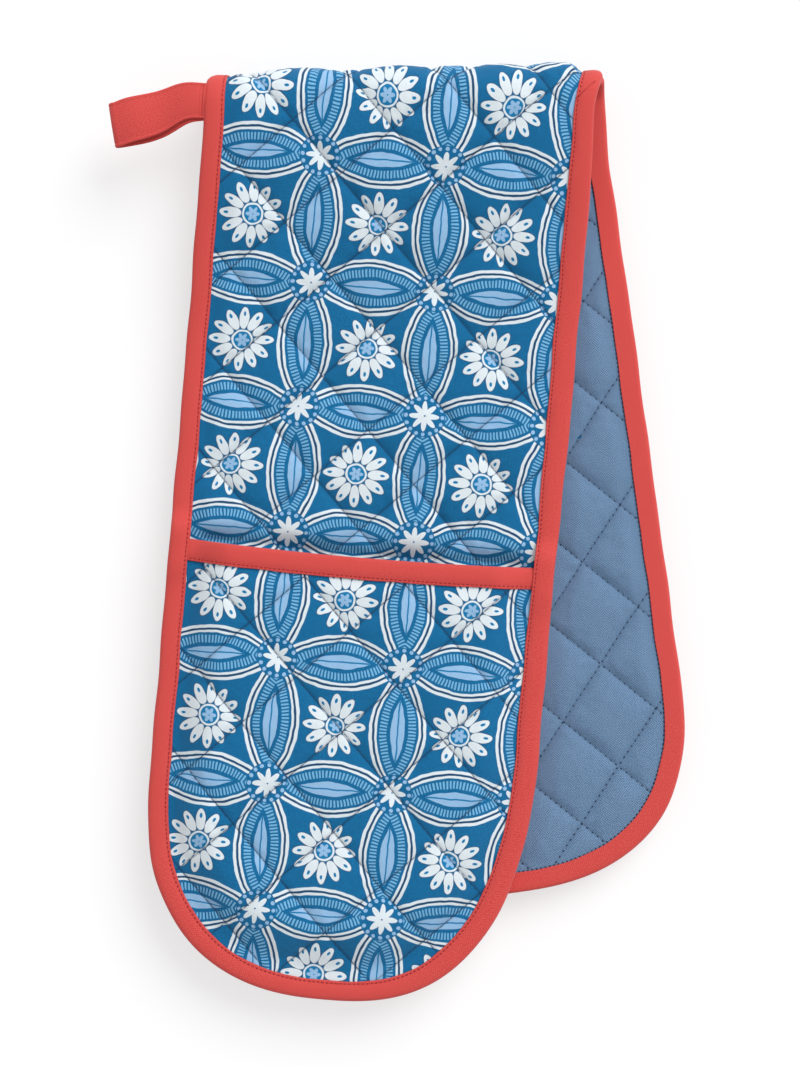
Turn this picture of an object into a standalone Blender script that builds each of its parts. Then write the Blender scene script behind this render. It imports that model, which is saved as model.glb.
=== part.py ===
import bisect
import math

import bmesh
import bpy
from mathutils import Vector

# Strip, in metres, measured on the photo
STRIP_WIDTH = 0.185
FRONT_LENGTH = 0.446
BACK_LENGTH = 0.398
FRONT_TOE_LEFT = 0.102
FRONT_TOE_RIGHT = 0.132
BACK_TOE = 0.092
TOE_POWER = 2.5
TOE_STEPS = 18
SPLAY = math.radians(6.3)
POCKET_DEPTH = 0.215

# Cloth layers
CLEARANCE = 0.0003
FABRIC = 0.0006
TAPE = 0.0006
TAPE_BEND = 0.0004
POCKET_LINING = 0.0005
WADDING_SEWN = 0.002
WADDING_PUFFED = 0.00525
LINING_PUFF = 0.0009
POCKET_WADDING_SEWN = 0.0008
POCKET_PUFF = 0.0016
REST_CUT = 0.0005

# Bindings
BINDING_WIDTH = 0.0098
MOUTH_BINDING_WIDTH = 0.0104
EDGE_FLAT = 0.0104
MOUTH_FLAT = 0.012
MOUTH_RAMP = 0.026
APPROACH = 0.014
APPROACH_END = 0.003
MOUTH_SPANS = 4

# Quilting lines, 45 degrees to the strip
QUILT_STEP = 0.03394
QUILT_U = -0.0262
QUILT_V = 0.0565
PUFF_EASE = 0.012
PUFF_START = 0.0005
CROWN_INSET = 0.0095
CROWN_AREA = 0.0009
CUT_SNAP = 0.0001

# Fold seen from the side
FOLD_RADIUS = 0.0095
FOLD_FALL = 0.115
FALL_ROWS = 3
ARC_DEGREES = (0.0, 15.0, 30.0, 45.0, 67.5, 90.0)
HINGE_DEGREES = 45.0

# Hand pocket
POCKET_EDGE_RAMP = 0.030
HAND_GAP = 0.0062

# Hanging loop
LOOP_WALL = 0.0014
LOOP_EYE = 0.0074
LOOP_ROOT_RADIUS = 0.0014
LOOP_NECK = 0.006
LOOP_LENGTH = 0.0448
LOOP_WIDTH = 0.0195
LOOP_TIP_WIDTH = 0.0212
LOOP_DROOP = math.radians(17.8)
LOOP_FROM_FOLD = 0.0056
LOOP_HEIGHT = 0.0125
LOOP_SIDE_GAP = 0.0004
LOOP_END_STEPS = 6

HALF = 2
COS = math.cos(SPLAY)
SIN = math.sin(SPLAY)

# Levels of the pad's layers, measured out from the plane between the two halves
HALF_GAP = CLEARANCE / HALF
TAPE_TOP = HALF_GAP + TAPE
LINING_SEWN = TAPE_TOP + CLEARANCE
LINING_PEAK = LINING_SEWN - LINING_PUFF
WADDING_LOW_SEWN = LINING_SEWN + FABRIC + CLEARANCE
WADDING_LOW_PEAK = LINING_PEAK + FABRIC + CLEARANCE
WADDING_TOP_SEWN = WADDING_LOW_SEWN + WADDING_SEWN
WADDING_TOP_PEAK = WADDING_LOW_PEAK + WADDING_PUFFED
COVER_SEWN = WADDING_TOP_SEWN + CLEARANCE
COVER_PEAK = WADDING_TOP_PEAK + CLEARANCE
PAD_SEWN = COVER_SEWN + FABRIC
PAD_PEAK = COVER_PEAK + FABRIC
LEG_LOW = PAD_SEWN + CLEARANCE

# Levels of the pocket's layers above its own lowest face
POCKET_STACK_WADDING = POCKET_LINING + CLEARANCE
POCKET_STACK_COVER = POCKET_STACK_WADDING + POCKET_WADDING_SEWN + CLEARANCE
POCKET_STACK = POCKET_STACK_COVER + FABRIC
MOUTH_RAISE = TAPE + CLEARANCE
PLATEAU = PAD_PEAK + HAND_GAP
POCKET_LIFT = PLATEAU - LEG_LOW
POCKET_TOP = PLATEAU + POCKET_STACK + POCKET_PUFF
EDGE_INSET = TAPE + CLEARANCE

# Distances along the strip, across the fold line
NEUTRAL_RADIUS = FOLD_RADIUS + PAD_PEAK / HALF
ARC_QUARTER = NEUTRAL_RADIUS * math.pi / HALF
OUTER_RADIUS = FOLD_RADIUS + PAD_PEAK
HINGE_CUT = ARC_QUARTER * HINGE_DEGREES / 90.0
FRONT_END = (ARC_QUARTER - OUTER_RADIUS) / COS + FRONT_LENGTH
BACK_END = (ARC_QUARTER - OUTER_RADIUS) / COS + BACK_LENGTH
FAR = 1.0

RED = (0.66, 0.075, 0.07, 1.0)
PRINT_BLUE = (0.012, 0.15, 0.42, 1.0)
LINING_BLUE = (0.13, 0.24, 0.38, 1.0)
WADDING_WHITE = (0.8, 0.79, 0.75, 1.0)

FRONT = {"sign": 1.0, "end": FRONT_END, "toes": (FRONT_TOE_LEFT, FRONT_TOE_RIGHT)}
BACK = {"sign": -1.0, "end": BACK_END, "toes": (BACK_TOE, BACK_TOE)}


def clear_scene():
    for obj in list(bpy.data.objects):
        bpy.data.objects.remove(obj, do_unlink=True)


def material(name, colour, roughness):
    made = bpy.data.materials.new(name)
    made.use_nodes = True
    shader = made.node_tree.nodes["Principled BSDF"]
    shader.inputs["Base Color"].default_value = colour
    shader.inputs["Roughness"].default_value = roughness
    return made


def fold_profile():
    """Rows of the folded strip: distance from the fold, then base point and outward direction."""
    rows = []
    for degrees in ARC_DEGREES:
        angle = math.radians(degrees)
        out = (-math.cos(angle), math.sin(angle))
        rows.append((ARC_QUARTER * degrees / 90.0, FOLD_RADIUS * out[0], FOLD_RADIUS * out[1], *out))
    for step in range(1, FALL_ROWS + 1):
        share = step / FALL_ROWS
        height = FOLD_RADIUS * (1.0 + math.cos(math.pi * share)) / HALF
        slope = -FOLD_RADIUS * math.pi * math.sin(math.pi * share) / (HALF * FOLD_FALL)
        length = math.hypot(slope, 1.0)
        rows.append((ARC_QUARTER + FOLD_FALL * share, FOLD_FALL * share, height, -slope / length, 1.0 / length))
    rows.append((ARC_QUARTER + FAR, FAR, 0.0, 0.0, 1.0))
    return rows


ROWS = fold_profile()
ROW_STARTS = [row[0] for row in ROWS]


def across_fold(u, v):
    return v * COS + u * SIN


def place(u, v, n):
    """World point of flat pattern point (u, v) at level n above the plane between the halves."""
    s = across_fold(u, v)
    index = min(bisect.bisect_right(ROW_STARTS, abs(s)) - 1, len(ROWS) - HALF)
    low = ROWS[index]
    high = ROWS[index + 1]
    share = (abs(s) - low[0]) / (high[0] - low[0])
    base_p, base_z, out_p, out_z = [a + (b - a) * share for a, b in zip(low[1:], high[1:])]
    p = base_p + n * out_p
    z = base_z + n * out_z
    return Vector((u * COS - v * SIN, -OUTER_RADIUS - p, POCKET_TOP + math.copysign(z, s)))


def toe_length(half, u):
    """Length of the rounded end, which changes evenly from the left side to the right."""
    left, right = half["toes"]
    return left + (right - left) * (u / STRIP_WIDTH + 1.0 / HALF)


def edge_distance(half, u, v):
    """Distance in from the bound edge of a half."""
    wide = STRIP_WIDTH / HALF
    toe = toe_length(half, u)
    along = max(abs(v) - half["end"] + toe, 0.0)
    radius = (abs(u / wide) ** TOE_POWER + (along / toe) ** TOE_POWER) ** (1.0 / TOE_POWER)
    return (1.0 - radius) * wide


def toe_point(half, inset, step):
    angle = math.pi * step / TOE_STEPS
    wide = STRIP_WIDTH / HALF - inset
    power = HALF / TOE_POWER
    u = math.copysign(abs(math.cos(angle)) ** power * wide, math.cos(angle))
    toe = toe_length(half, u)
    v = half["end"] - toe + (toe - inset) * abs(math.sin(angle)) ** power
    return u, half["sign"] * v


def outline(half, inset, start):
    """Open path up one side of a half, round its toe and down the other side."""
    wide = STRIP_WIDTH / HALF - inset
    path = [(wide, half["sign"] * start)]
    path += [toe_point(half, inset, step) for step in range(TOE_STEPS + 1)]
    path.append((-wide, half["sign"] * start))
    return path


def nested_pattern(half, insets, start):
    """Flat rings from the edge inwards, then one inner face. Quilted faces have material index 1."""
    bm = bmesh.new()
    loops = [[bm.verts.new((u, v, 0.0)) for u, v in outline(half, inset, start)] for inset in insets]
    for ring, (outer, inner) in enumerate(zip(loops, loops[1:])):
        for k in range(len(outer) - 1):
            face = bm.faces.new((outer[k], outer[k + 1], inner[k + 1], inner[k]))
            face.material_index = min(ring, 1)
    bm.faces.new(loops[-1]).material_index = 1
    return bm


def fold_pattern():
    """Flat pattern of the strip over the fold, between the two hinge cuts."""
    bm = bmesh.new()
    wide = STRIP_WIDTH / HALF - EDGE_INSET
    inner = STRIP_WIDTH / HALF - EDGE_FLAT
    reach = STRIP_WIDTH / HALF
    columns = [[bm.verts.new((u, v, 0.0)) for v in (-reach, reach)] for u in (-wide, -inner, inner, wide)]
    for k in range(len(columns) - 1):
        face = bm.faces.new((*columns[k], *reversed(columns[k + 1])))
        face.material_index = k % HALF
    return bm


def cut(bm, point, normal, faces=None, clear=False):
    """Cuts a flat pattern along a line. With clear, what lies on the normal's side goes."""
    chosen = list(bm.faces) if faces is None else faces
    edges = {edge for face in chosen for edge in face.edges}
    verts = {vert for face in chosen for vert in face.verts}
    bmesh.ops.bisect_plane(
        bm,
        geom=[*verts, *edges, *chosen],
        dist=CUT_SNAP,
        plane_co=(*point, 0.0),
        plane_no=(*normal, 0.0),
        clear_outer=clear,
    )


def cut_quilting(bm):
    """Cuts the quilted faces along both families of quilting lines."""
    reach = math.ceil((FRONT_LENGTH + STRIP_WIDTH) / QUILT_STEP)
    for lean in (1.0, -1.0):
        for k in range(-reach, reach):
            point = (QUILT_U, QUILT_V + k * QUILT_STEP * math.sqrt(HALF))
            quilted = [face for face in bm.faces if face.material_index == 1]
            cut(bm, point, (lean, 1.0), quilted)


def cut_rows(bm):
    """Cuts a pattern at each row of the fold's profile."""
    for start in ROW_STARTS[:-1]:
        for side in (1.0, -1.0):
            cut(bm, (side * start * SIN, side * start * COS), (SIN, COS))


def pad_pattern(half):
    sign = half["sign"]
    bm = nested_pattern(half, (EDGE_INSET, EDGE_FLAT), -STRIP_WIDTH / HALF)
    start = sign * (HINGE_CUT + HALF_GAP)
    cut(bm, (start * SIN, start * COS), (-sign * SIN, -sign * COS), clear=True)
    cut_quilting(bm)
    cut_rows(bm)
    return bm


def mouth(half):
    return half["end"] - POCKET_DEPTH


def pocket_pattern(half):
    bm = nested_pattern(half, (EDGE_INSET, EDGE_FLAT, POCKET_EDGE_RAMP), mouth(half) + EDGE_INSET)
    cut_quilting(bm)
    for step in (MOUTH_FLAT, MOUTH_RAMP):
        cut(bm, (0.0, half["sign"] * (mouth(half) + step)), (0.0, 1.0))
    return bm


def saddle_pattern():
    bm = fold_pattern()
    reach = HINGE_CUT - HALF_GAP
    for side in (1.0, -1.0):
        cut(bm, (side * reach * SIN, side * reach * COS), (side * SIN, side * COS), clear=True)
    cut_quilting(bm)
    cut_rows(bm)
    return bm


def triangles(bm, crowned):
    """Points and triangles of a pattern. Crowned patterns have a raised ring in each whole diamond."""
    work = bm.copy()
    flat = [face for face in work.faces if face.material_index == 0]
    bmesh.ops.triangulate(work, faces=flat)
    quilted = [face for face in work.faces if face.material_index == 1]
    if crowned:
        whole = [face for face in quilted if face.calc_area() > CROWN_AREA]
        bmesh.ops.inset_individual(work, faces=whole, thickness=CROWN_INSET, use_even_offset=True)
        quilted = [face for face in work.faces if face.material_index == 1]
    bmesh.ops.poke(work, faces=[face for face in quilted if len(face.verts) > 3])
    work.verts.index_update()
    points = [(vert.co.x, vert.co.y) for vert in work.verts]
    faces = [tuple(vert.index for vert in face.verts) for face in work.faces]
    rim = [tuple(vert.index for vert in edge.verts) for edge in work.edges if edge.is_boundary]
    work.free()
    return points, faces, rim


def finish(name, points, faces, slot):
    """One closed, outward-facing object."""
    mesh = bpy.data.meshes.new(name)
    mesh.from_pydata(points, [], faces)
    bm = bmesh.new()
    bm.from_mesh(mesh)
    bmesh.ops.recalc_face_normals(bm, faces=bm.faces)
    bm.to_mesh(mesh)
    bm.free()
    mesh.materials.append(slot)
    obj = bpy.data.objects.new(name, mesh)
    bpy.context.scene.collection.objects.link(obj)
    return obj


def key(point):
    return round(point[0] / CLEARANCE, 2), round(point[1] / CLEARANCE, 2)


def layer(name, low, high, low_level, high_level, slot):
    """Solid between two levels of the same pattern. The two sides may have different inner points."""
    low_points, low_faces, low_rim = low
    high_points, high_faces, _ = high
    points = [place(u, v, low_level(u, v)) for u, v in low_points]
    points += [place(u, v, high_level(u, v)) for u, v in high_points]
    shift = len(low_points)
    above = {key(point): index + shift for index, point in enumerate(high_points)}
    faces = list(low_faces)
    faces += [tuple(index + shift for index in reversed(face)) for face in high_faces]
    for a, b in low_rim:
        up_a = above[key(low_points[a])]
        up_b = above[key(low_points[b])]
        faces.append((a, b, up_b))
        faces.append((a, up_b, up_a))
    return finish(name, points, faces, slot)


def puff(u, v):
    """0 on a quilting line and 1 in the middle of a diamond."""
    a = (v - QUILT_V + u - QUILT_U) / (QUILT_STEP * math.sqrt(HALF))
    b = (v - QUILT_V - u + QUILT_U) / (QUILT_STEP * math.sqrt(HALF))
    return math.sqrt(abs(math.sin(math.pi * a) * math.sin(math.pi * b)))


def ease(distance, start, length):
    return min(max((distance - start) / length, 0.0), 1.0)


def pad_puff(half):
    """Puffs of a pad that die out towards the binding."""

    def level(u, v):
        inside = STRIP_WIDTH / HALF - abs(u) if half is None else edge_distance(half, u, v)
        return puff(u, v) * ease(inside, EDGE_FLAT + PUFF_START, PUFF_EASE)

    return level


def between(sewn, peak, puffs):
    return lambda u, v: sewn + (peak - sewn) * puffs(u, v)


def pad_layers(prefix, pattern, half, slots):
    plain = triangles(pattern, False)
    crowned = triangles(pattern, True)
    puffs = pad_puff(half)
    lining_low = between(LINING_SEWN, LINING_PEAK, puffs)
    lining_high = between(LINING_SEWN + FABRIC, LINING_PEAK + FABRIC, puffs)
    wadding_low = between(WADDING_LOW_SEWN, WADDING_LOW_PEAK, puffs)
    wadding_high = between(WADDING_TOP_SEWN, WADDING_TOP_PEAK, puffs)
    cover_low = between(COVER_SEWN, COVER_PEAK, puffs)
    cover_high = between(PAD_SEWN, PAD_PEAK, puffs)
    seen_lining = plain if half is FRONT else crowned
    seen_cover = plain if half is BACK else crowned
    layer(f"{prefix}_lining", seen_lining, plain, lining_low, lining_high, slots["lining"])
    layer(f"{prefix}_wadding", plain, plain, wadding_low, wadding_high, slots["wadding"])
    layer(f"{prefix}_cover", plain, seen_cover, cover_low, cover_high, slots["cover"])


def pocket_shape(half):
    """Level of the pocket's lowest face and its puffs."""

    def base(u, v):
        start = EDGE_FLAT + PUFF_START
        lift = ease(edge_distance(half, u, v), start, POCKET_EDGE_RAMP - start)
        raised = 1.0 - ease(abs(v) - mouth(half), MOUTH_FLAT, MOUTH_RAMP - MOUTH_FLAT)
        return LEG_LOW + POCKET_LIFT * lift + MOUTH_RAISE * raised * (1.0 - lift)

    def puffs(u, v):
        from_edge = ease(edge_distance(half, u, v), EDGE_FLAT + PUFF_START, PUFF_EASE)
        from_mouth = ease(abs(v) - mouth(half), MOUTH_FLAT + PUFF_START, PUFF_EASE)
        return puff(u, v) * from_edge * from_mouth

    return base, puffs


def pocket_layers(prefix, half, slots):
    pattern = pocket_pattern(half)
    plain = triangles(pattern, False)
    crowned = triangles(pattern, True)
    base, puffs = pocket_shape(half)
    rests = half is BACK

    def level(rise, swell):
        return lambda u, v: base(u, v) + rise + swell * puffs(u, v)

    def cover_top(u, v):
        swell = (POCKET_PUFF + REST_CUT) * puffs(u, v)
        return base(u, v) + POCKET_STACK + min(swell, POCKET_PUFF)

    top = cover_top if rests else level(POCKET_STACK, POCKET_PUFF)
    wadding_top = level(POCKET_STACK_COVER - CLEARANCE, POCKET_PUFF)
    layer(f"{prefix}_pocket_lining", plain, plain, level(0.0, 0.0), level(POCKET_LINING, 0.0), slots["lining"])
    layer(f"{prefix}_pocket_wadding", plain, plain, level(POCKET_STACK_WADDING, 0.0), wadding_top, slots["wadding"])
    layer(f"{prefix}_pocket_cover", plain, crowned, level(POCKET_STACK_COVER, POCKET_PUFF), top, slots["cover"])


def tube(name, sections, slot):
    """Solid through a row of closed sections with the same number of points."""
    count = len(sections[0])
    points = [point for section in sections for point in section]
    faces = []
    for s in range(len(sections) - 1):
        for k in range(count):
            a = s * count + k
            b = s * count + (k + 1) % count
            faces.append((a, b, b + count))
            faces.append((a, b + count, a + count))
    bm = bmesh.new()
    made = [bm.verts.new(point) for point in points]
    for face in faces:
        bm.faces.new([made[index] for index in face])
    first = bm.faces.new(made[:count])
    last = bm.faces.new(list(reversed(made[-count:])))
    bmesh.ops.triangulate(bm, faces=[first, last])
    bm.verts.index_update()
    triangles_made = [tuple(vert.index for vert in face.verts) for face in bm.faces]
    bm.free()
    return finish(name, points, triangles_made, slot)


def wrap_section(width, low, high):
    """Tape folded round an edge: distances in from the fold and levels of its two legs."""
    top = high + TAPE
    bottom = low - TAPE
    return [
        (width, top),
        (TAPE_BEND, top),
        (0.0, top - TAPE_BEND),
        (0.0, bottom + TAPE_BEND),
        (TAPE_BEND, bottom),
        (width - TAPE_BEND, bottom),
        (width - TAPE_BEND, low),
        (TAPE, low),
        (TAPE, high),
        (width, high),
    ]


def leg_level(half, along):
    """Lower face of the edge binding's outer leg at a distance along the half."""
    past = along - mouth(half)
    over_mouth = LEG_LOW + MOUTH_RAISE + POCKET_STACK + CLEARANCE + TAPE + CLEARANCE
    over_pocket = LEG_LOW + POCKET_STACK + CLEARANCE
    if past < 0.0:
        share = ease(past, -APPROACH, APPROACH - APPROACH_END)
        return LEG_LOW + (over_mouth - LEG_LOW) * share
    share = ease(past, MOUTH_FLAT, MOUTH_RAMP - MOUTH_FLAT)
    return over_mouth + (over_pocket - over_mouth) * share


def side_section(half, side, row=None, along=None):
    """Binding section on a straight side, cut along a row of the fold or square across."""
    level = LEG_LOW if along is None else leg_level(half, along)
    points = []
    for inset, n in wrap_section(BINDING_WIDTH, TAPE_TOP, level):
        u = side * (STRIP_WIDTH / HALF - inset)
        v = (row - u * SIN) / COS if along is None else half["sign"] * along
        points.append(place(u, v, n))
    return points


def edge_binding(prefix, half, slot):
    sign = half["sign"]
    rows = [start for start in ROW_STARTS[:-1] if start > HINGE_CUT + HALF_GAP]
    rows.insert(0, HINGE_CUT + HALF_GAP)
    ramp = (-APPROACH, -APPROACH_END, MOUTH_FLAT, MOUTH_RAMP)
    steps = [mouth(half) + step for step in ramp]

    def side(which):
        parts = [side_section(half, which, row=sign * row) for row in rows]
        return parts + [side_section(half, which, along=step) for step in steps]

    toe = []
    for step in range(TOE_STEPS + 1):
        section = wrap_section(BINDING_WIDTH, TAPE_TOP, leg_level(half, half["end"]))
        toe.append([place(*toe_point(half, inset, step), n) for inset, n in section])
    sections = side(1.0) + toe + list(reversed(side(-1.0)))
    return tube(f"{prefix}_edge_binding", sections, slot)


def fold_binding(name, side, slot):
    reach = HINGE_CUT - HALF_GAP
    rows = [start for start in ROW_STARTS if start < reach]
    rows.append(reach)
    rows = [-row for row in reversed(rows)] + rows[1:]
    return tube(name, [side_section(FRONT, side, row=row) for row in rows], slot)


def mouth_binding(prefix, half, slot):
    """Tape folded round the pocket's mouth. Its ends lie under the edge binding."""
    half_wide = STRIP_WIDTH / HALF
    middle = half_wide - POCKET_EDGE_RAMP
    sides = [half_wide - EDGE_INSET, half_wide - EDGE_FLAT]
    stations = sides + [middle * (1.0 - k * HALF / MOUTH_SPANS) for k in range(MOUTH_SPANS + 1)]
    stations += [-station for station in reversed(sides)]
    stations = [-half["sign"] * station for station in stations]
    base, _ = pocket_shape(half)
    sections = []
    for u in stations:
        floor = base(u, half["sign"] * mouth(half))
        wrap = wrap_section(MOUTH_BINDING_WIDTH, floor - CLEARANCE, floor + POCKET_STACK + CLEARANCE)
        sections.append([place(u, half["sign"] * (mouth(half) + inset), n) for inset, n in wrap])
    return tube(f"{prefix}_pocket_binding", sections, slot)


def loop_outline(shrink):
    """Teardrop of the loop seen edge on: (distance from its root, height)."""
    half_eye = LOOP_EYE / HALF + LOOP_WALL - shrink
    tip = LOOP_LENGTH - LOOP_EYE / HALF - LOOP_WALL
    neck = LOOP_NECK
    root = LOOP_ROOT_RADIUS if shrink == 0.0 else LOOP_NECK
    points = []
    if shrink == 0.0:
        for step in range(LOOP_END_STEPS + 1):
            angle = math.pi / HALF + math.pi * step / LOOP_END_STEPS
            points.append((root * math.cos(angle), root * math.sin(angle)))
    else:
        points.append((neck, 0.0))
        points.append((neck + LOOP_WALL, -LOOP_WALL))
    points.append((tip / HALF, -half_eye))
    for step in range(LOOP_END_STEPS + 1):
        angle = -math.pi / HALF + math.pi * step / LOOP_END_STEPS
        points.append((tip + half_eye * math.cos(angle), half_eye * math.sin(angle)))
    points.append((tip / HALF, half_eye))
    if shrink:
        points.append((neck + LOOP_WALL, LOOP_WALL))
    return points


def loop_axis():
    """Ends of the loop's swing axis, along the strip's left edge."""
    near = -LOOP_FROM_FOLD
    far = near - LOOP_WIDTH
    side = -STRIP_WIDTH / (HALF * COS) - LOOP_SIDE_GAP - LOOP_ROOT_RADIUS
    quarter = ARC_QUARTER - OUTER_RADIUS
    ends = []
    for y in (near, far):
        ends.append(Vector((side - (quarter - y) * math.tan(SPLAY), y, POCKET_TOP + LOOP_HEIGHT)))
    return ends


def hanging_loop(slot):
    near, far = loop_axis()
    out = Vector((-math.cos(LOOP_DROOP), -math.sin(LOOP_DROOP), 0.0))
    across = Vector((math.sin(LOOP_DROOP), -math.cos(LOOP_DROOP), 0.0))
    tip_centre = (near + far) / HALF + out * LOOP_LENGTH
    tip_near = tip_centre - across * LOOP_TIP_WIDTH / HALF
    tip_far = tip_centre + across * LOOP_TIP_WIDTH / HALF
    up = Vector((0.0, 0.0, 1.0))

    def ring(shrink, start, tip):
        return [start + (tip - start) * (along / LOOP_LENGTH) + up * height for along, height in loop_outline(shrink)]

    bm = bmesh.new()
    edges = []
    loops = []
    for shrink in (0.0, LOOP_WALL):
        pair = []
        for start, tip in ((near, tip_near), (far, tip_far)):
            verts = [bm.verts.new(point) for point in ring(shrink, start, tip)]
            edges.append([bm.edges.new((verts[k], verts[(k + 1) % len(verts)])) for k in range(len(verts))])
            pair.append(verts)
        loops.append(pair)
    for first, second in loops:
        for k in range(len(first)):
            after = (k + 1) % len(first)
            bm.faces.new((first[k], first[after], second[after], second[k]))
    for side in (0, 1):
        bmesh.ops.triangle_fill(bm, edges=edges[side] + edges[side + HALF], use_beauty=True)
    bmesh.ops.triangulate(bm, faces=bm.faces)
    bm.verts.index_update()
    points = [vert.co.copy() for vert in bm.verts]
    faces = [tuple(vert.index for vert in face.verts) for face in bm.faces]
    bm.free()
    return finish("hanging_loop", points, faces, slot)


def pivot(name, location, direction):
    """Empty on a hinge line, its X axis along the line."""
    empty = bpy.data.objects.new(name, None)
    empty.location = location
    empty.rotation_mode = "QUATERNION"
    empty.rotation_quaternion = Vector((1.0, 0.0, 0.0)).rotation_difference(direction)
    bpy.context.scene.collection.objects.link(empty)
    return empty


def hold(obj, parent):
    obj.parent = parent
    obj.matrix_parent_inverse = parent.matrix_world.inverted()


def hinge_point(side):
    """Point on a hinge line of the fold, on the outermost surface."""
    angle = math.radians(HINGE_DEGREES)
    radius = OUTER_RADIUS + CLEARANCE
    return Vector((0.0, -OUTER_RADIUS + radius * math.cos(angle), POCKET_TOP + side * radius * math.sin(angle)))


def centre_on_floor():
    """Moves the object so that the middle of its underside is the origin."""
    bpy.context.view_layer.update()
    corners = [
        obj.matrix_world @ vert.co for obj in bpy.data.objects if obj.type == "MESH" for vert in obj.data.vertices
    ]
    low = [min(corner[axis] for corner in corners) for axis in range(3)]
    high = [max(corner[axis] for corner in corners) for axis in range(3)]
    middle = Vector(((low[0] + high[0]) / HALF, (low[1] + high[1]) / HALF, low[2]))
    for obj in bpy.data.objects:
        if obj.parent is None:
            obj.location -= middle
    bpy.context.view_layer.update()


def main():
    clear_scene()
    slots = {
        "cover": material("printed_cotton", PRINT_BLUE, 0.85),
        "lining": material("chambray_lining", LINING_BLUE, 0.9),
        "wadding": material("cotton_wadding", WADDING_WHITE, 0.95),
        "tape": material("red_cotton_tape", RED, 0.85),
    }
    pad_layers("fold", saddle_pattern(), None, slots)
    fold_binding("fold_binding_left", -1.0, slots["tape"])
    fold_binding("fold_binding_right", 1.0, slots["tape"])
    for prefix, half in (("front", FRONT), ("back", BACK)):
        pad_layers(prefix, pad_pattern(half), half, slots)
        edge_binding(prefix, half, slots["tape"])
        pocket_layers(prefix, half, slots)
        mouth_binding(prefix, half, slots["tape"])
    hanging_loop(slots["tape"])
    near, far = loop_axis()
    along_fold = Vector((-1.0, 0.0, 0.0))
    pivots = {
        "fold": pivot("fold_lower_axis", hinge_point(-1.0), along_fold),
        "front": pivot("fold_upper_axis", hinge_point(1.0), along_fold),
        "hanging": pivot("loop_axis", (near + far) / HALF, far - near),
    }
    bpy.context.view_layer.update()
    hold(pivots["front"], pivots["fold"])
    bpy.context.view_layer.update()
    hold(pivots["hanging"], pivots["front"])
    bpy.context.view_layer.update()
    for obj in list(bpy.data.objects):
        prefix = obj.name.split("_")[0]
        if obj.type == "MESH" and prefix in pivots:
            hold(obj, pivots[prefix])
    centre_on_floor()


main()
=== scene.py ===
import math

import bmesh
import bpy
import numpy as np
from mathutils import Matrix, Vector


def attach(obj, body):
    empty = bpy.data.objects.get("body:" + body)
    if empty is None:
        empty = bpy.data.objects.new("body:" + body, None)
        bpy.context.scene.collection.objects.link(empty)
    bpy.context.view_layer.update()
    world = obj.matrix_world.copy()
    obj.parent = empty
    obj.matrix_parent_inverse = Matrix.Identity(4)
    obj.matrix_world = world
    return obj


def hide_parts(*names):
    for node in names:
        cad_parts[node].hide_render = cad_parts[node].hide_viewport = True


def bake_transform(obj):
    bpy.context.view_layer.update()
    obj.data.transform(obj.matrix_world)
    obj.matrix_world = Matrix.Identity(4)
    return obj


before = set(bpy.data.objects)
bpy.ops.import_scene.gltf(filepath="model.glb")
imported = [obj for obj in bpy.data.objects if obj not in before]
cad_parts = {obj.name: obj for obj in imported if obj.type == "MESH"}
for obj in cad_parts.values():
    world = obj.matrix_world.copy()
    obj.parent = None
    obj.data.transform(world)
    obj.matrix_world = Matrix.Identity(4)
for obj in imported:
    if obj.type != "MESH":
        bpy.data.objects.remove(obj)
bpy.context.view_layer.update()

# Strip, the same sizes as the solids, in metres
STRIP_WIDTH = 0.185
FRONT_LENGTH = 0.446
BACK_LENGTH = 0.398
FRONT_TOE_LEFT = 0.102
FRONT_TOE_RIGHT = 0.132
BACK_TOE = 0.092
TOE_POWER = 2.5
SPLAY = math.radians(6.3)
POCKET_DEPTH = 0.215
FOLD_RADIUS = 0.0095
FOLD_FALL = 0.115
PAD_PEAK = 0.0072
PAD_SEWN = 0.00485
LINING_SEWN = 0.00105
LINING_PEAK = 0.00025
FABRIC = 0.0006
TAPE = 0.0006
CLEARANCE = 0.0003
POCKET_LINING = 0.0005
POCKET_STACK = 0.0025
POCKET_PUFF = 0.0016
PLATEAU = 0.0134
POCKET_TOP = 0.0175
BINDING_WIDTH = 0.0098
MOUTH_BINDING_WIDTH = 0.0104
EDGE_FLAT = 0.0104
POCKET_EDGE_RAMP = 0.030
MOUTH_FLAT = 0.012
MOUTH_RAMP = 0.026
APPROACH = 0.014
APPROACH_END = 0.003

# Middle of the fold in the row frame, and how the fold meets each half
FOLD_X = 0.007782
FOLD_Y = 0.222322
FOLD_OVERLAP = 0.006
SLANT_FADE = 0.07

# Stuffed crown of the fold, and the strip's edges near it
FOLD_RISE = 0.0036
FOLD_RISE_LEFT = 0.0024
FOLD_RISE_RIGHT = 0.0002
FOLD_RISE_EASE = 0.005
FOLD_RISE_REACH = 0.021
FLARE_LEFT = 0.0009
FLARE_RIGHT = 0.0029
FLARE_REACH = 0.028
FLARE_REACH_BACK = 0.055
FLARE_START_SHARE = 0.35
SHOULDER = 0.0013
SHOULDER_REACH = 0.006

# Here and below, a pair that belongs to a change, a start, a stop, a dip or a fade is where a smooth step
# starts and how long it is
EDGE_SPREAD = 0.0016
SPREAD_START = (0.03, 0.04)
SPREAD_STOP = (0.17, 0.09)
EDGE_WAVER = 0.0003
EDGE_WAVER_PITCH = 0.037

# Second wave of an irregular line: its pitch and phase against the first, and its lead
SECOND_WAVE = (1.618, 1.7, 1.0)

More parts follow.
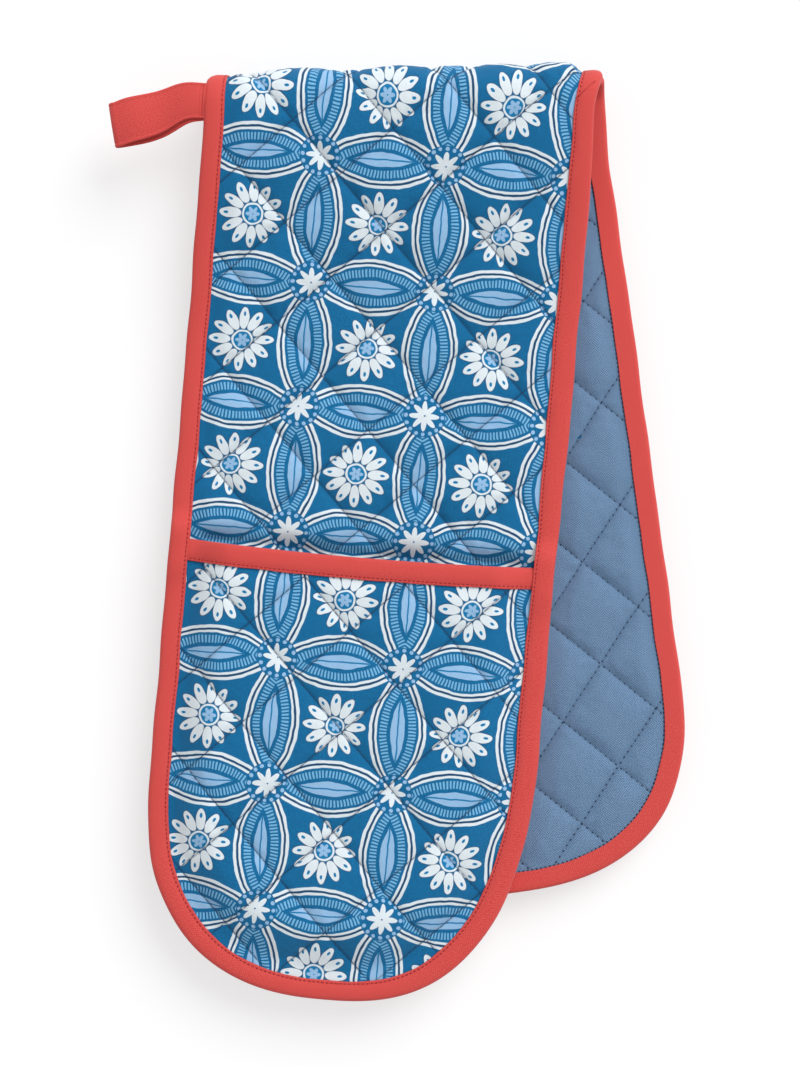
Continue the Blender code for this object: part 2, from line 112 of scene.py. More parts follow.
# Quilting diamonds: a crossing, half a diamond across and along, and lean of the rows
FRONT_QUILT = (-0.0262, 0.0565, 0.024, 0.024, 0.0)
BACK_QUILT = (0.053, -0.2484, 0.0225, 0.0249, -0.04)
QUILT_CHANGE = (0.004, 0.02)
DIAMOND = 0.0339
STITCH_FLAT = 0.0002
STITCH_SHOULDER = 0.0017
PUFF_START = 0.0101
PUFF_EASE = 0.009
GATHER_SHARE = 0.02
GATHER_REACH_SHARE = 0.035

# Cloth simulation of a quilted patch
RELIEF_CELLS = 16
RELIEF_DIAMONDS = 5
RELIEF_POWER = 0.6
RELIEF_LIMIT = 1.1
CROWN_PERCENT = 92
SIM_SIZE = 0.34
SIM_FRAMES = 24
SIM_ROUGH = 0.004
SIM_STIFFNESS = 15.0
SIM_SHRINK_SHARE = -0.05
SEED = 7
SIM_SETTINGS = {
    "quality": 6,
    "mass": 0.3,
    "tension_stiffness": SIM_STIFFNESS,
    "compression_stiffness": SIM_STIFFNESS,
    "shear_stiffness": 5.0,
    "bending_stiffness": 0.05,
    "shrink_min": SIM_SHRINK_SHARE,
    "shrink_max": SIM_SHRINK_SHARE,
    "use_pressure": True,
    "uniform_pressure_force": 3.0,
}

# Laid cloth. Each wave has its parts across and along, its pitch against the first, and its phase
WRINKLE = 0.00025
WRINKLE_PITCH = 0.046
WRINKLE_WAVES = ((1.0, 0.37, 1.0, 0.0), (0.41, -0.93, 1.37, 1.3), (0.77, 1.21, 0.61, 2.1))
COVER_DIP = 0.0006
LINING_DIP = 0.0009
LINING_WAVE_SHARE = 0.12
EXPOSED_RISE = 0.0013
EXPOSED = (0.001, 0.010)

# Pockets
MOUTH_DIP = (0.0, 0.011)
MOUTH_FALL = 0.003
MOUTH_FALL_REACH = 0.009
MOUTH_BOW = 0.0026
BOW_FADE = 0.08
POCKET_DIP = 0.0004

# Mesh
FINE_STEP = 0.0015
FOLD_ROWS = 17
TOE_TABLE = 3000
STRAIGHT_STATIONS = 110
TOE_STATIONS = 50

# Bindings
TAPE_SWELL = 0.0003
TAPE_DIP = 0.0002
TAPE_CROWN_SHARES = (0.55, 0.35)
TAPE_UNDER_SHARE = 0.5
EDGE_ROUND = 0.0022
EDGE_POWER = 0.8
EDGE_STEPS = 8
RIPPLE = 0.00016
RIPPLE_PITCH = 0.021
EXTRA_WIDTH = 0.0015
EXTRA_START = (0.21, 0.09)
EXTRA_FADE_SHARES = (0.35, 0.5)
JOIN_INNER = 0.0209
JOIN_OUTER = 0.0132
JOIN_WIDTH = 0.0003
JOIN_COLUMNS = 3

# Stitches, each kind by its length and its thread's radius
COVER_SEWING = (0.0028, 0.00017)
LINING_SEWING = (0.001, 0.00034)
TOP_SEWING = (0.0013, 0.0003)
QUILT_PITCH = 0.0032
INNER_STITCH_GAP = 0.0003
TOP_PITCH = 0.00215
STITCH_INSET = 0.0012
STITCH_SIDES = 6
STITCH_PROUD = 0.00012
DIAMONDS_ALONG = 14
ROW_POINTS = 160
MIN_POINTS = 12

# Places along a stitch as shares of its length, each with its share of the thread's radius
STITCH_RING_SHARES = ((-0.5, 0.25), (-0.36, 0.85), (0.0, 1.0), (0.36, 0.85), (0.5, 0.25))

# Hanging loop: upper and lower edge of its upper layer, from its root to its turn
LOOP_TOP_PIXELS = (
    (203.6, 82.7),
    (190.0, 81.6),
    (180.8, 82.1),
    (169.1, 86.4),
    (158.4, 90.7),
    (138.2, 95.4),
    (123.3, 98.3),
    (114.0, 102.2),
)
LOOP_LOW_PIXELS = (
    (200.0, 118.2),
    (188.5, 117.6),
    (181.0, 120.6),
    (171.0, 127.2),
    (162.0, 132.6),
    (146.0, 138.6),
    (128.5, 143.6),
    (121.0, 146.2),
)

# How far the loop's lower layer lies below the upper one at each of these places
LOOP_SLIPS = (0.0007, 0.0018, 0.0026, 0.0022, 0.0018, 0.0016, 0.0008, 0.0)
LOOP_HEIGHT = 0.030
LOOP_WAVE = 0.0007
LOOP_WAVES = 3
LOOP_TUCK = 0.0005
LOOP_WALL = 0.0012
LOOP_EYE = 0.0048
LOOP_OPEN_SHARES = (0.05, 0.75)
LOOP_ROOT = 0.0009
LOOP_CREASE = 0.0004
LOOP_CREASE_PLACES = (0.0013, 0.0031)
LOOP_CREASE_WIDTH = 0.0005
LOOP_STEPS = 90
LOOP_TURN_STEPS = 14
LOOP_SMOOTHING = 11
LOOP_SMOOTHINGS = 3

# Half of the loop's band: places as shares of its width, each with its share of the wall
LOOP_SECTION_SHARES = ((-0.5, 0.35), (-0.475, 1.0), (-0.44, 1.0), (-0.42, 0.7), (-0.40, 1.0), (0.0, 1.15))

# Camera and photograph
PHOTO_SIZE = (800, 1067)
METRES_PER_PIXEL = 0.0004805
FOLD_PIXEL = (404.0, 73.0)
ROLL = math.radians(1.45)
CAMERA_HEIGHT = 1.3
FOCUS_HEIGHT = 0.018
SENSOR = 24.0

# Colours, linear
WORLD_COLOUR = (1.0, 1.0, 1.0, 1.0)
BLUE = (0.001, 0.197, 0.435, 1.0)
BLUE_DEEP = (0.001, 0.085, 0.225, 1.0)
BLUE_DARK = (0.008, 0.065, 0.16, 1.0)
PALE = (0.31, 0.53, 0.79, 1.0)
HATCH = (0.19, 0.47, 0.74, 1.0)
WHITE = (0.76, 0.84, 0.885, 1.0)
RED = (0.76, 0.112, 0.098, 1.0)
RED_DEEP = (0.52, 0.028, 0.026, 1.0)
RED_THREAD = (0.38, 0.008, 0.014, 1.0)
CHAMBRAY = (0.27, 0.43, 0.65, 1.0)
CHAMBRAY_DARK = (0.014, 0.056, 0.135, 1.0)
THREAD_BLUE = (0.012, 0.055, 0.15, 1.0)
LINING_THREAD = (0.012, 0.03, 0.085, 1.0)
# Painted shade: the dark colour the cloth is mixed towards in the valleys and creases of its quilting
# lines. The cover's own grain is also mixed towards it
SHADE = (0.0, 0.01, 0.04, 1.0)
THREAD_DARK_SHARE = 0.6

# Print: repeat of the lattice of circles, its place, and how unsteadily it is drawn
PRINT_PITCH = 0.060
PRINT_U = -0.006
PRINT_V = 0.018
ARC = PRINT_PITCH / math.sqrt(2.0)
WOBBLE = 0.0011
WOBBLE_SCALE = 170.0
PRINT_SOFT = 0.00012
PETAL_SOFT_SHARE = 0.05

# Lines by their depth inside a circle and half their width, and hatches round a whole circle
OUTER_RING = (0.0, 0.0007)
RING_GAP = (-0.00115, 0.0008)
INNER_RING = (-0.0023, 0.00055)
HATCH_BAND = (-0.0058, 0.0017)
HATCH_EDGE = 0.0002
HATCHES = 150.0
HATCH_SHARE = 0.1
HATCH_SOFT_SHARE = 0.25
LEAF_DEPTH = -0.0092
LEAF_VEIN = 0.00035

# Rings of petals: number, distance from the centre, half length and half width. Discs: radius
DAISY_COUNT = 12
DAISY_MIDDLE = 0.0103
DAISY_OUTLINE = (DAISY_COUNT, DAISY_MIDDLE, 0.0053, 0.0026)
DAISY_PETALS = (DAISY_COUNT, DAISY_MIDDLE, 0.0050, 0.00225)
DAISY_DOTS = (DAISY_COUNT, 0.0122, 0.0011, 0.0006)
DAISY_RIM = 0.0049
DAISY_EYE = 0.0040
DAISY_HEART = (6, 0.0018, 0.0015, 0.0009)
STAR_GROUND = 0.0098
STAR_DOTS = (16, 0.0085, 0.0009, 0.0009)
STAR_PETALS = (8, 0.0037, 0.0033, 0.00125)

# Cloth textures: pitches in metres, scales per metre, and bumps as distance and strength
COVER_WEAVE = 0.0011
TAPE_WEAVE = 0.0013
LINING_WEAVE = 0.0012
COVER_GRAIN_SCALE = 1100.0
TAPE_GRAIN_SCALE = 1500.0
LINING_GRAIN_SCALE = 2000.0
GRAIN_CONTRAST = 4.5
GRAIN_DETAIL = 2.0
GRAIN_ROUGHNESS = 0.6
CLOUD_SCALE = 60.0
SLUB_SCALES = (180.0, 1300.0)
SLUB_CONTRAST = 2.5
TWIST_SCALE = 2500.0
COVER_FINE_SHARE = 0.35
COVER_BUMP_SHARE = 0.6
TAPE_BUMP_SHARE = 0.5
COVER_BUMP = (0.00012, 0.7)
TAPE_BUMP = (0.0001, 0.5)
LINING_BUMP = (0.00014, 0.7)
VALLEY = 0.0009
VALLEY_DEPTHS = 3.0
CREASE = 0.0003

# What makes up a cloth's shade: on the tape fine grain, clouds and threads, on the lining threads, fine
# grain and slubs both ways
TAPE_SHARES = (0.4, 0.1, 0.5)
LINING_SHARES = (0.55, 0.35, 0.05, 0.05)

# How much painted shade darkens the cloth in the valley and the crease of a seam, and on the cover how much
# its own grain darkens it
COVER_SHADE_AND_GRAIN_SHARES = (0.16, 0.3, 0.12)
LINING_PAINTED_SHADE_SHARES = (0.07, 0.08)

COTTON_ROUGHNESS = 0.85
LINING_ROUGHNESS = 0.88
THREAD_ROUGHNESS = 0.6
COTTON_LOOKS = (("Specular IOR Level", 0.25), ("Sheen Weight", 0.12), ("Sheen Roughness", 0.5))

# Floor and light
FLOOR_SIZE = 4.0
FLOOR_DROP = 0.0004
FLOOR_COLOUR = (0.96, 0.96, 0.96, 1.0)
FLOOR_LIFT_SHARE = 0.06
FLOOR_PALE_SHARE = 0.6
FLOOR_ROUGHNESS = 0.9
FLOOR_SPECULAR = 0.1
WORLD_LIGHT = 0.55
KEY_LIGHT = 2.3
KEY_SPREAD = math.radians(40.0)
KEY_TILT = math.radians(48.0)
KEY_TURN = math.radians(143.0)

# Colour inputs and colour output of a mix node
MIX_FIRST = 6
MIX_SECOND = 7
MIX_RESULT = 2

HALF = 2
QUARTER = 4
COS = math.cos(SPLAY)
SIN = math.sin(SPLAY)
TAN = math.tan(SPLAY)
HALF_GAP = CLEARANCE / HALF
OUTER_RADIUS = FOLD_RADIUS + PAD_PEAK
ARC_QUARTER = (FOLD_RADIUS + PAD_PEAK / HALF) * math.pi / HALF
HINGE_CUT = ARC_QUARTER / HALF
FOLD_REACH = HINGE_CUT / COS + FOLD_OVERLAP
WIDE = STRIP_WIDTH / HALF
LEG_LOW = PAD_SEWN + CLEARANCE
TAPE_TOP = HALF_GAP + TAPE
UNDER_TAPE = TAPE + CLEARANCE
PAST_BINDING = BINDING_WIDTH + CLEARANCE
SEWN_LEVEL = TAPE - TAPE_DIP + STITCH_PROUD
COLUMNS = int(round(STRIP_WIDTH / FINE_STEP)) + 1


class Side:
    """One half of the glove."""

    def __init__(self, name, sign, length, toes, quilt):
        self.name = name
        self.sign = sign
        self.toes = toes
        self.end = (ARC_QUARTER - OUTER_RADIUS) / COS + length
        self.mouth = self.end - POCKET_DEPTH
        self.start = FOLD_REACH
        self.quilt = quilt


FRONT = Side("front", 1.0, FRONT_LENGTH, (FRONT_TOE_LEFT, FRONT_TOE_RIGHT), FRONT_QUILT)
BACK = Side("back", -1.0, BACK_LENGTH, (BACK_TOE, BACK_TOE), BACK_QUILT)
rng = np.random.default_rng(SEED)


# Flat pattern and its place in space


def smooth(value, start, length):
    t = np.clip((value - start) / length, 0.0, 1.0)
    return t * t * (3.0 - 2.0 * t)


def waver(distance, pitch, phase=0.0):
    """Slow irregular wave between about -1 and 1."""
    longer, turned, lead = SECOND_WAVE
    first = np.sin(distance * math.tau / pitch + phase)
    second = np.sin(distance * math.tau / (pitch * longer) + phase * turned + lead)
    return (first + second) / HALF


def fold_rise(u, far):
    """How much further out the stuffed fold stands than its bound ends."""
    inner = smooth(WIDE - np.abs(u), BINDING_WIDTH, FOLD_RISE_EASE)
    ends = np.where(u < 0.0, FOLD_RISE_LEFT, FOLD_RISE_RIGHT)
    return (ends + (FOLD_RISE - ends) * inner) * (1.0 - smooth(far, 0.0, FOLD_RISE_REACH))


def flare(u, s):
    """How much wider the strip lies near the fold and along the right edge beyond it."""
    reach = np.where(s < 0.0, FLARE_REACH_BACK, FLARE_REACH)
    outward = smooth(np.abs(u) / WIDE, FLARE_START_SHARE, 1.0 - BINDING_WIDTH / WIDE - FLARE_START_SHARE)
    size = np.where(u < 0.0, -FLARE_LEFT, FLARE_RIGHT)
    spread = EDGE_SPREAD * smooth(u, WIDE - BINDING_WIDTH, BINDING_WIDTH)
    spread = spread * smooth(s, *SPREAD_START) * (1.0 - smooth(s, *SPREAD_STOP))
    return size * outward * (1.0 - smooth(np.abs(s), 0.0, reach)) + spread


def place(u, v, n):
    """World points of flat pattern points (u, v) at level n above the plane between the halves."""
    s = v * COS + u * SIN
    far = np.abs(s)
    n = n + fold_rise(u, far)
    u = u + flare(u, s)
    theta = np.minimum(far / ARC_QUARTER, 1.0) * math.pi / HALF
    share = np.clip((far - ARC_QUARTER) / FOLD_FALL, 0.0, 1.0)
    height = FOLD_RADIUS * (1.0 + np.cos(math.pi * share)) / HALF
    slope = -FOLD_RADIUS * math.pi * np.sin(math.pi * share) / (HALF * FOLD_FALL)
    norm = np.hypot(slope, 1.0)
    in_arc = far < ARC_QUARTER
    out_p = np.where(in_arc, -np.cos(theta), -slope / norm)
    out_z = np.where(in_arc, np.sin(theta), 1.0 / norm)
    base_p = np.where(in_arc, -FOLD_RADIUS * np.cos(theta), far - ARC_QUARTER)
    base_z = np.where(in_arc, FOLD_RADIUS * np.sin(theta), height)
    u = u * (1.0 + EDGE_WAVER * waver(v + u * TAN, EDGE_WAVER_PITCH, np.sign(u)) / WIDE)
    x = FOLD_X + u * COS - v * SIN
    y = FOLD_Y - OUTER_RADIUS - (base_p + n * out_p)
    z = POCKET_TOP + np.sign(s) * (base_z + n * out_z)
    return np.stack([x + 0.0 * n, y, z], axis=-1)


def toe_length(side, u):
    left, right = side.toes
    return left + (right - left) * (u / STRIP_WIDTH + 1.0 / HALF)


def edge_distance(side, u, v):
    """Distance in from the bound edge. Without a side, only the two straight edges count."""
    if side is None:
        return WIDE - np.abs(u)
    toe = toe_length(side, u)
    along = np.maximum(np.abs(v) - side.end + toe, 0.0)
    radius = (np.abs(u / WIDE) ** TOE_POWER + (along / toe) ** TOE_POWER) ** (1.0 / TOE_POWER)
    return (1.0 - radius) * WIDE


def toe_curve(side, which, inset, angle):
    """Distance across and along the half at an angle round one side of its toe."""
    power = HALF / TOE_POWER
    across = which * (WIDE - inset) * np.abs(np.cos(angle)) ** power
    toe = toe_length(side, across)
    return across, side.end - toe + (toe - inset) * np.sin(angle) ** power


def reach_across(side, which, w):
    """How far the cloth of a row at a distance along the half reaches to one side."""
    across, along = toe_curve(side, which, UNDER_TAPE, np.linspace(0.0, math.pi / HALF, TOE_TABLE))
    return np.interp(w, along, np.abs(across))


def slanted(side, u, w):
    """Flat v of a point w along a half. Near the fold its rows run along the fold line."""
    fade = 1.0 - smooth(w, side.start, SLANT_FADE)
    return side.sign * w - u * TAN * fade


def shoulder(w):
    """How far the edge draws in at the very fold."""
    return SHOULDER * (1.0 - np.minimum(w / SHOULDER_REACH, 1.0) ** HALF)


# Quilted relief by cloth simulation


def simulate_relief():
    """Height of a quilted sheet over a patch of diamonds, 0 on the stitching and about 1 on the crowns."""
    count = RELIEF_CELLS * RELIEF_DIAMONDS + 1
    steps = np.arange(count)
    across, along = np.meshgrid(steps, steps)
    wave = np.sin(math.pi * across / RELIEF_CELLS) * np.sin(math.pi * along / RELIEF_CELLS)
    start = np.sqrt(np.abs(wave))
    points = np.stack([part.ravel() * SIM_SIZE / RELIEF_CELLS for part in (across, along, start)], axis=1)
    loose = start.ravel() > SIM_ROUGH
    points[loose] += rng.normal(0.0, SIM_ROUGH, (int(loose.sum()), 3))
    corner = (steps[:-1, None] * count + steps[None, :-1]).ravel()
    faces = np.stack([corner, corner + 1, corner + count + 1, corner + count], axis=1)
    mesh = bpy.data.meshes.new("relief")
    mesh.from_pydata(points.tolist(), [], faces.tolist())
    obj = bpy.data.objects.new("relief", mesh)
    bpy.context.scene.collection.objects.link(obj)
    sewn = obj.vertex_groups.new(name="sewn")
    sewn.add(np.flatnonzero(~loose).tolist(), 1.0, "REPLACE")
    height = np.abs(settled_cloth(obj).reshape(count, count, 3)[:, :, 2])
    bpy.data.objects.remove(obj, do_unlink=True)
    crown = np.percentile(height, CROWN_PERCENT)
    if not np.isfinite(crown) or crown <= 0.0:
        return start
    return np.clip(height / crown, 0.0, RELIEF_LIMIT) ** RELIEF_POWER


def settled_cloth(obj):
    """Points of a sheet after its cloth simulation, with its sewn points held."""
    cloth = obj.modifiers.new("cloth", "CLOTH")
    cloth.settings.vertex_group_mass = "sewn"
    for name, value in SIM_SETTINGS.items():
        setattr(cloth.settings, name, value)
    cloth.settings.effector_weights.gravity = 0.0
    cloth.collision_settings.use_collision = False
    cloth.point_cache.frame_start = 1
    cloth.point_cache.frame_end = SIM_FRAMES
    scene = bpy.context.scene
    for number in range(1, SIM_FRAMES + 1):
        scene.frame_set(number)
    mesh = obj.evaluated_get(bpy.context.evaluated_depsgraph_get()).data
    made = np.empty(len(mesh.vertices) * 3)
    mesh.vertices.foreach_get("co", made)
    scene.frame_set(1)
    return made


RELIEF = simulate_relief()


def lattice(quilt, u, v):
    """Place in diamonds along both diagonals. Whole numbers are quilting lines."""
    start_u, start_v, half_u, half_v, lean = quilt
    across = (u - start_u - lean * (v - start_v)) / half_u
    along = (v - start_v) / half_v
    return (along + across) / HALF, (along - across) / HALF


def from_lattice(quilt, a, b):
    start_u, start_v, half_u, half_v, lean = quilt
    v = start_v + (a + b) * half_v
    return start_u + (a - b) * half_u + lean * (v - start_v), v


def puff_at(quilt, u, v, shift):
    """Relief of one set of diamonds, flat beside its quilting lines."""
    a, b = lattice(quilt, u, v)
    from_line = np.minimum(np.abs(a - np.round(a)), np.abs(b - np.round(b))) * DIAMOND
    ga = ((a + shift) % RELIEF_DIAMONDS) * RELIEF_CELLS
    gb = ((b + shift * HALF) % RELIEF_DIAMONDS) * RELIEF_CELLS
    last = RELIEF_CELLS * RELIEF_DIAMONDS - 1
    a0 = np.minimum(ga.astype(int), last)
    b0 = np.minimum(gb.astype(int), last)
    fa = ga - a0
    fb = gb - b0
    low = RELIEF[b0, a0] * (1.0 - fa) + RELIEF[b0, a0 + 1] * fa
    high = RELIEF[b0 + 1, a0] * (1.0 - fa) + RELIEF[b0 + 1, a0 + 1] * fa
    return (low * (1.0 - fb) + high * fb) * smooth(from_line, STITCH_FLAT, STITCH_SHOULDER)


def relief(u, v, shift=0):
    """Puffs over the whole strip. The back half has its own quilting lines from just past the fold."""
    share = smooth(-v, *QUILT_CHANGE)
    return puff_at(FRONT_QUILT, u, v, shift) * (1.0 - share) + puff_at(BACK_QUILT, u, v, shift) * share


def gathered(t):
    """Lattice place of the cloth at a lattice place of the quilt: more cloth lies beside each line."""
    whole = np.floor(t)
    part = t - whole
    near = np.exp(-part / GATHER_REACH_SHARE) - np.exp(-(1.0 - part) / GATHER_REACH_SHARE)
    return whole + part + GATHER_SHARE * (1.0 - part * HALF - near)


def cloth_at(u, v):
    """Flat place in the printed cloth before it was drawn in along the quilting lines."""
    made = []
    for quilt in (FRONT_QUILT, BACK_QUILT):
        a, b = lattice(quilt, u, v)
        made.append(from_lattice(quilt, gathered(a), gathered(b)))
    share = smooth(-v, *QUILT_CHANGE)
    return tuple(front * (1.0 - share) + back * share for front, back in zip(*made))


# Mesh building


def new_object(name, points, faces, uvs, slot):
    mesh = bpy.data.meshes.new(name)
    mesh.from_pydata([tuple(point) for point in points], [], faces)
    if uvs is not None:
        layer = mesh.uv_layers.new(name="flat")
        loops = np.empty(len(mesh.loops), int)
        mesh.loops.foreach_get("vertex_index", loops)
        layer.data.foreach_set("uv", np.asarray(uvs, np.float32)[loops].ravel())
    mesh.materials.append(slot)
    mesh.shade_smooth()
    obj = bpy.data.objects.new(name, mesh)
    bpy.context.scene.collection.objects.link(obj)
    return obj


def sharpen(mesh, rim):
    """Keeps the shading of a solid's two faces apart along its rim."""
    inside = np.zeros(len(mesh.vertices), bool)
    inside[rim] = True
    ends = np.empty(len(mesh.edges) * HALF, int)
    mesh.edges.foreach_get("vertices", ends)
    both = inside[ends.reshape(-1, HALF)].all(axis=1)
    layer = mesh.attributes.new("sharp_edge", "BOOLEAN", "EDGE")
    layer.data.foreach_set("value", both)


def shell(name, u, v, low, high, slot):
    """Closed solid between two levels over a grid of flat points."""
    bottom = place(u, v, low).reshape(-1, 3)
    top = place(u, v, high).reshape(-1, 3)
    grid = np.arange(u.size).reshape(u.shape)
    quads = np.stack([grid[:-1, :-1], grid[:-1, 1:], grid[1:, 1:], grid[1:, :-1]], axis=-1).reshape(-1, 4)
    rim = np.concatenate([grid[0, :], grid[1:, -1], grid[-1, -2::-1], grid[-2:0:-1, 0]])
    after = np.roll(rim, -1)
    walls = np.stack([rim, after, after + u.size, rim + u.size], axis=-1)
    first, second, third = top[quads[0, :3]]
    if np.dot(np.cross(second - first, third - first), first - bottom[quads[0, 0]]) > 0.0:
        faces = [quads[:, ::-1], quads + u.size, walls]
    else:
        faces = [quads, quads[:, ::-1] + u.size, walls[:, ::-1]]
    flat = np.stack([part.ravel() for part in cloth_at(u, v)], axis=-1)
    points = np.concatenate([bottom, top])
    obj = new_object(name, points, np.concatenate(faces).tolist(), np.concatenate([flat, flat]), slot)
    sharpen(obj.data, np.concatenate([rim, rim + u.size]))
    return obj


def half_grid(side, first):
    """Flat grid over a half from a distance along it to its rounded end."""
    last = side.end - UNDER_TAPE - CLEARANCE
    w = np.linspace(first, last, int(round((last - first) / FINE_STEP)) + 1)[:, None]
    share = np.linspace(-1.0, 1.0, COLUMNS)[None, :]
    u = share * np.where(share < 0.0, reach_across(side, -1.0, w), reach_across(side, 1.0, w))
    return u, w + 0.0 * u


def fold_grid(sign):
    """Flat grid over the fold, from its middle line to where a half begins."""
    w = np.linspace(0.0, FOLD_REACH, FOLD_ROWS)[:, None]
    u = np.linspace(-1.0, 1.0, COLUMNS)[None, :] * (WIDE - UNDER_TAPE - shoulder(w))
    return u, sign * w - u * TAN


# Pads


def wrinkle(u, v, size):
    """Slow waviness of laid cloth, a sum of fixed waves."""
    waves = [
        np.sin((u * across + v * along) * math.tau / (WRINKLE_PITCH * longer) + phase)
        for across, along, longer, phase in WRINKLE_WAVES
    ]
    return size * sum(waves) / len(WRINKLE_WAVES)


def exposed(u, v):
    """1 where the front half leaves the back one uncovered."""
    across = u * COS - v * SIN
    along = -(v * COS + u * SIN)
    front_u = across * COS + along * SIN
    front_v = along * COS - across * SIN
    outside = -edge_distance(FRONT, front_u, np.maximum(front_v, 0.0))
    return smooth(outside, *EXPOSED)


def free_to_rise(side, u, v):
    """0 beside the edge binding, 1 where the wadding swells fully."""
    return smooth(edge_distance(side, u, v), PUFF_START, PUFF_EASE)


def cover_level(side, u, v):
    """Outer face of a pad's printed cover."""
    away = free_to_rise(side, u, v)
    puff = relief(u, v)
    fall = 0.0
    if side is not None:
        before = side.mouth + bow(u) - np.abs(v)
        puff = puff * np.where(before > 0.0, smooth(before, *MOUTH_DIP), 1.0)
        fall = MOUTH_FALL * (1.0 - np.clip(np.abs(before) / MOUTH_FALL_REACH, 0.0, 1.0)) ** HALF
    crown = (PAD_PEAK - PAD_SEWN + wrinkle(u, v, WRINKLE)) * puff
    return PAD_SEWN + away * (crown - COVER_DIP * (1.0 - puff) - fall)


def lining_level(side, u, v):
    """Inner face of a pad's lining."""
    away = free_to_rise(side, u, v)
    puff = relief(u, v, 1)
    rise = LINING_SEWN - LINING_PEAK
    if side is BACK:
        rise = rise + EXPOSED_RISE * exposed(u, v)
        puff = puff * (1.0 + wrinkle(u, v, LINING_WAVE_SHARE))
    return LINING_SEWN + away * (LINING_DIP * (1.0 - puff) - rise * puff)


def layers(stem, names, u, v, levels, slots):
    """Printed cover with its wadding, and the lining under it, between three levels over flat points."""
    low, parting, high = levels
    cover = shell(names[0], u, v, parting + HALF_GAP, high, slots["print"])
    lining = shell(names[1], u, v, low, parting, slots["chambray"])
    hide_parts(f"{stem}_cover", f"{stem}_wadding")
    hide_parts(f"{stem}_lining")
    return cover, lining


def make_pad(side, slots):
    u, w = half_grid(side, side.start)
    v = slanted(side, u, w)
    low = lining_level(side, u, v)
    names = (f"{side.name}_quilted_cover", f"{side.name}_chambray")
    levels = (low, low + FABRIC, cover_level(side, u, v))
    for piece in layers(side.name, names, u, v, levels, slots):
        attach(piece, side.name)


def bend(piece):
    """Bakes a piece's placement into its points; the piece is not turned. The joint lies an eighth of a
    turn from the fold's middle.
    """
    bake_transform(piece)


def make_fold(slots):
    for sign, word in ((1.0, "upper"), (-1.0, "lower")):
        u, v = fold_grid(sign)
        low = lining_level(None, u, v)
        names = (f"fold_cover_{word}", f"fold_chambray_{word}")
        levels = (low, low + FABRIC, cover_level(None, u, v))
        for piece in layers("fold", names, u, v, levels, slots):
            bend(piece)


# Pockets


def bow(u):
    """How far the mouth of a pocket sags towards its toe."""
    return MOUTH_BOW * (1.0 - (u / WIDE) ** HALF)


def past_mouth(side, u, v):
    past = np.abs(v) - side.mouth
    return past - bow(u) * (1.0 - smooth(past, 0.0, BOW_FADE))


def pocket_base(side, u, v):
    """Lowest face of a pocket: flat at the edge binding, lifted clear of the pad inside it."""
    lift = smooth(edge_distance(side, u, v), EDGE_FLAT, POCKET_EDGE_RAMP - EDGE_FLAT)
    raised = 1.0 - smooth(past_mouth(side, u, v), MOUTH_FLAT, MOUTH_RAMP - MOUTH_FLAT)
    return LEG_LOW + (PLATEAU - LEG_LOW) * lift + UNDER_TAPE * raised * (1.0 - lift)


def pocket_level(side, u, v):
    """Outer face of a pocket's printed cover. The back one lies flat on the table."""
    away = free_to_rise(side, u, v) * smooth(past_mouth(side, u, v), MOUTH_BINDING_WIDTH, PUFF_EASE)
    puff = relief(u, v)
    crown = (POCKET_PUFF + wrinkle(u, v, WRINKLE)) * puff - POCKET_DIP * (1.0 - puff)
    level = pocket_base(side, u, v) + POCKET_STACK + away * crown
    return np.minimum(level, POCKET_TOP) if side is BACK else level


def make_pocket(side, slots):
    u, w = half_grid(side, side.mouth + UNDER_TAPE)
    sag = (1.0 - smooth(w - side.mouth, 0.0, BOW_FADE)) * smooth(side.end - w, UNDER_TAPE, BOW_FADE)
    v = side.sign * (w + bow(u) * sag)
    base = pocket_base(side, u, v)
    names = (f"{side.name}_pocket_quilted", f"{side.name}_pocket_chambray")
    levels = (base, base + POCKET_LINING, pocket_level(side, u, v))
    for piece in layers(f"{side.name}_pocket", names, u, v, levels, slots):
        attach(piece, side.name)


# Bindings


def wrap_section(width, low, high):
    """Tape folded round an edge: distances in from the fold, each with a level for every station."""
    bottom = low - TAPE
    top = high + TAPE
    middle = (bottom + top) / HALF
    tall = (top - bottom) / HALF
    stitch = width - STITCH_INSET
    section = [
        (width, top - TAPE_DIP / HALF),
        (width - STITCH_INSET / HALF, top),
        (stitch, top - TAPE_DIP),
        (stitch - STITCH_INSET / HALF, top + TAPE_SWELL / HALF),
    ]
    section += [(width * share, top + TAPE_SWELL) for share in TAPE_CROWN_SHARES]
    section.append((EDGE_ROUND, top + TAPE_SWELL / QUARTER))
    for step in range(1, EDGE_STEPS):
        angle = math.pi * step / EDGE_STEPS
        rise = math.copysign(abs(math.cos(angle)) ** EDGE_POWER, math.cos(angle))
        section.append((EDGE_ROUND * (1.0 - math.sin(angle) ** EDGE_POWER), middle + tall * rise))
    return section + [
        (EDGE_ROUND, bottom),
        (width * TAPE_UNDER_SHARE, bottom),
        (width - TAPE / HALF, bottom),
        (width, bottom),
        (width, low),
        (EDGE_ROUND, low),
        (TAPE, middle),
        (EDGE_ROUND, high),
        (width * TAPE_UNDER_SHARE, high + TAPE_SWELL / HALF),
        (width, high - TAPE_DIP / HALF),
    ]


def tape_solid(name, sections, uvs, slot):
    """Closed tube through sections, an array of stations, points and coordinates."""
    stations, count, _ = sections.shape
    grid = np.arange(stations * count).reshape(stations, count)
    after = np.roll(grid, -1, axis=1)
    quads = np.stack([grid[:-1], after[:-1], after[1:], grid[1:]], axis=-1).reshape(-1, 4)
    faces = quads.tolist() + [grid[0, ::-1].tolist(), grid[-1].tolist()]
    obj = new_object(name, sections.reshape(-1, 3), faces, uvs.reshape(-1, 2), slot)
    settle(obj)
    sharpen(obj.data, np.concatenate([grid[0], grid[-1]]))
    return obj


def settle(obj):
    """Turns a closed mesh's faces outward."""
    bm = bmesh.new()
    bm.from_mesh(obj.data)
    bmesh.ops.recalc_face_normals(bm, faces=bm.faces)
    bm.to_mesh(obj.data)
    bm.free()


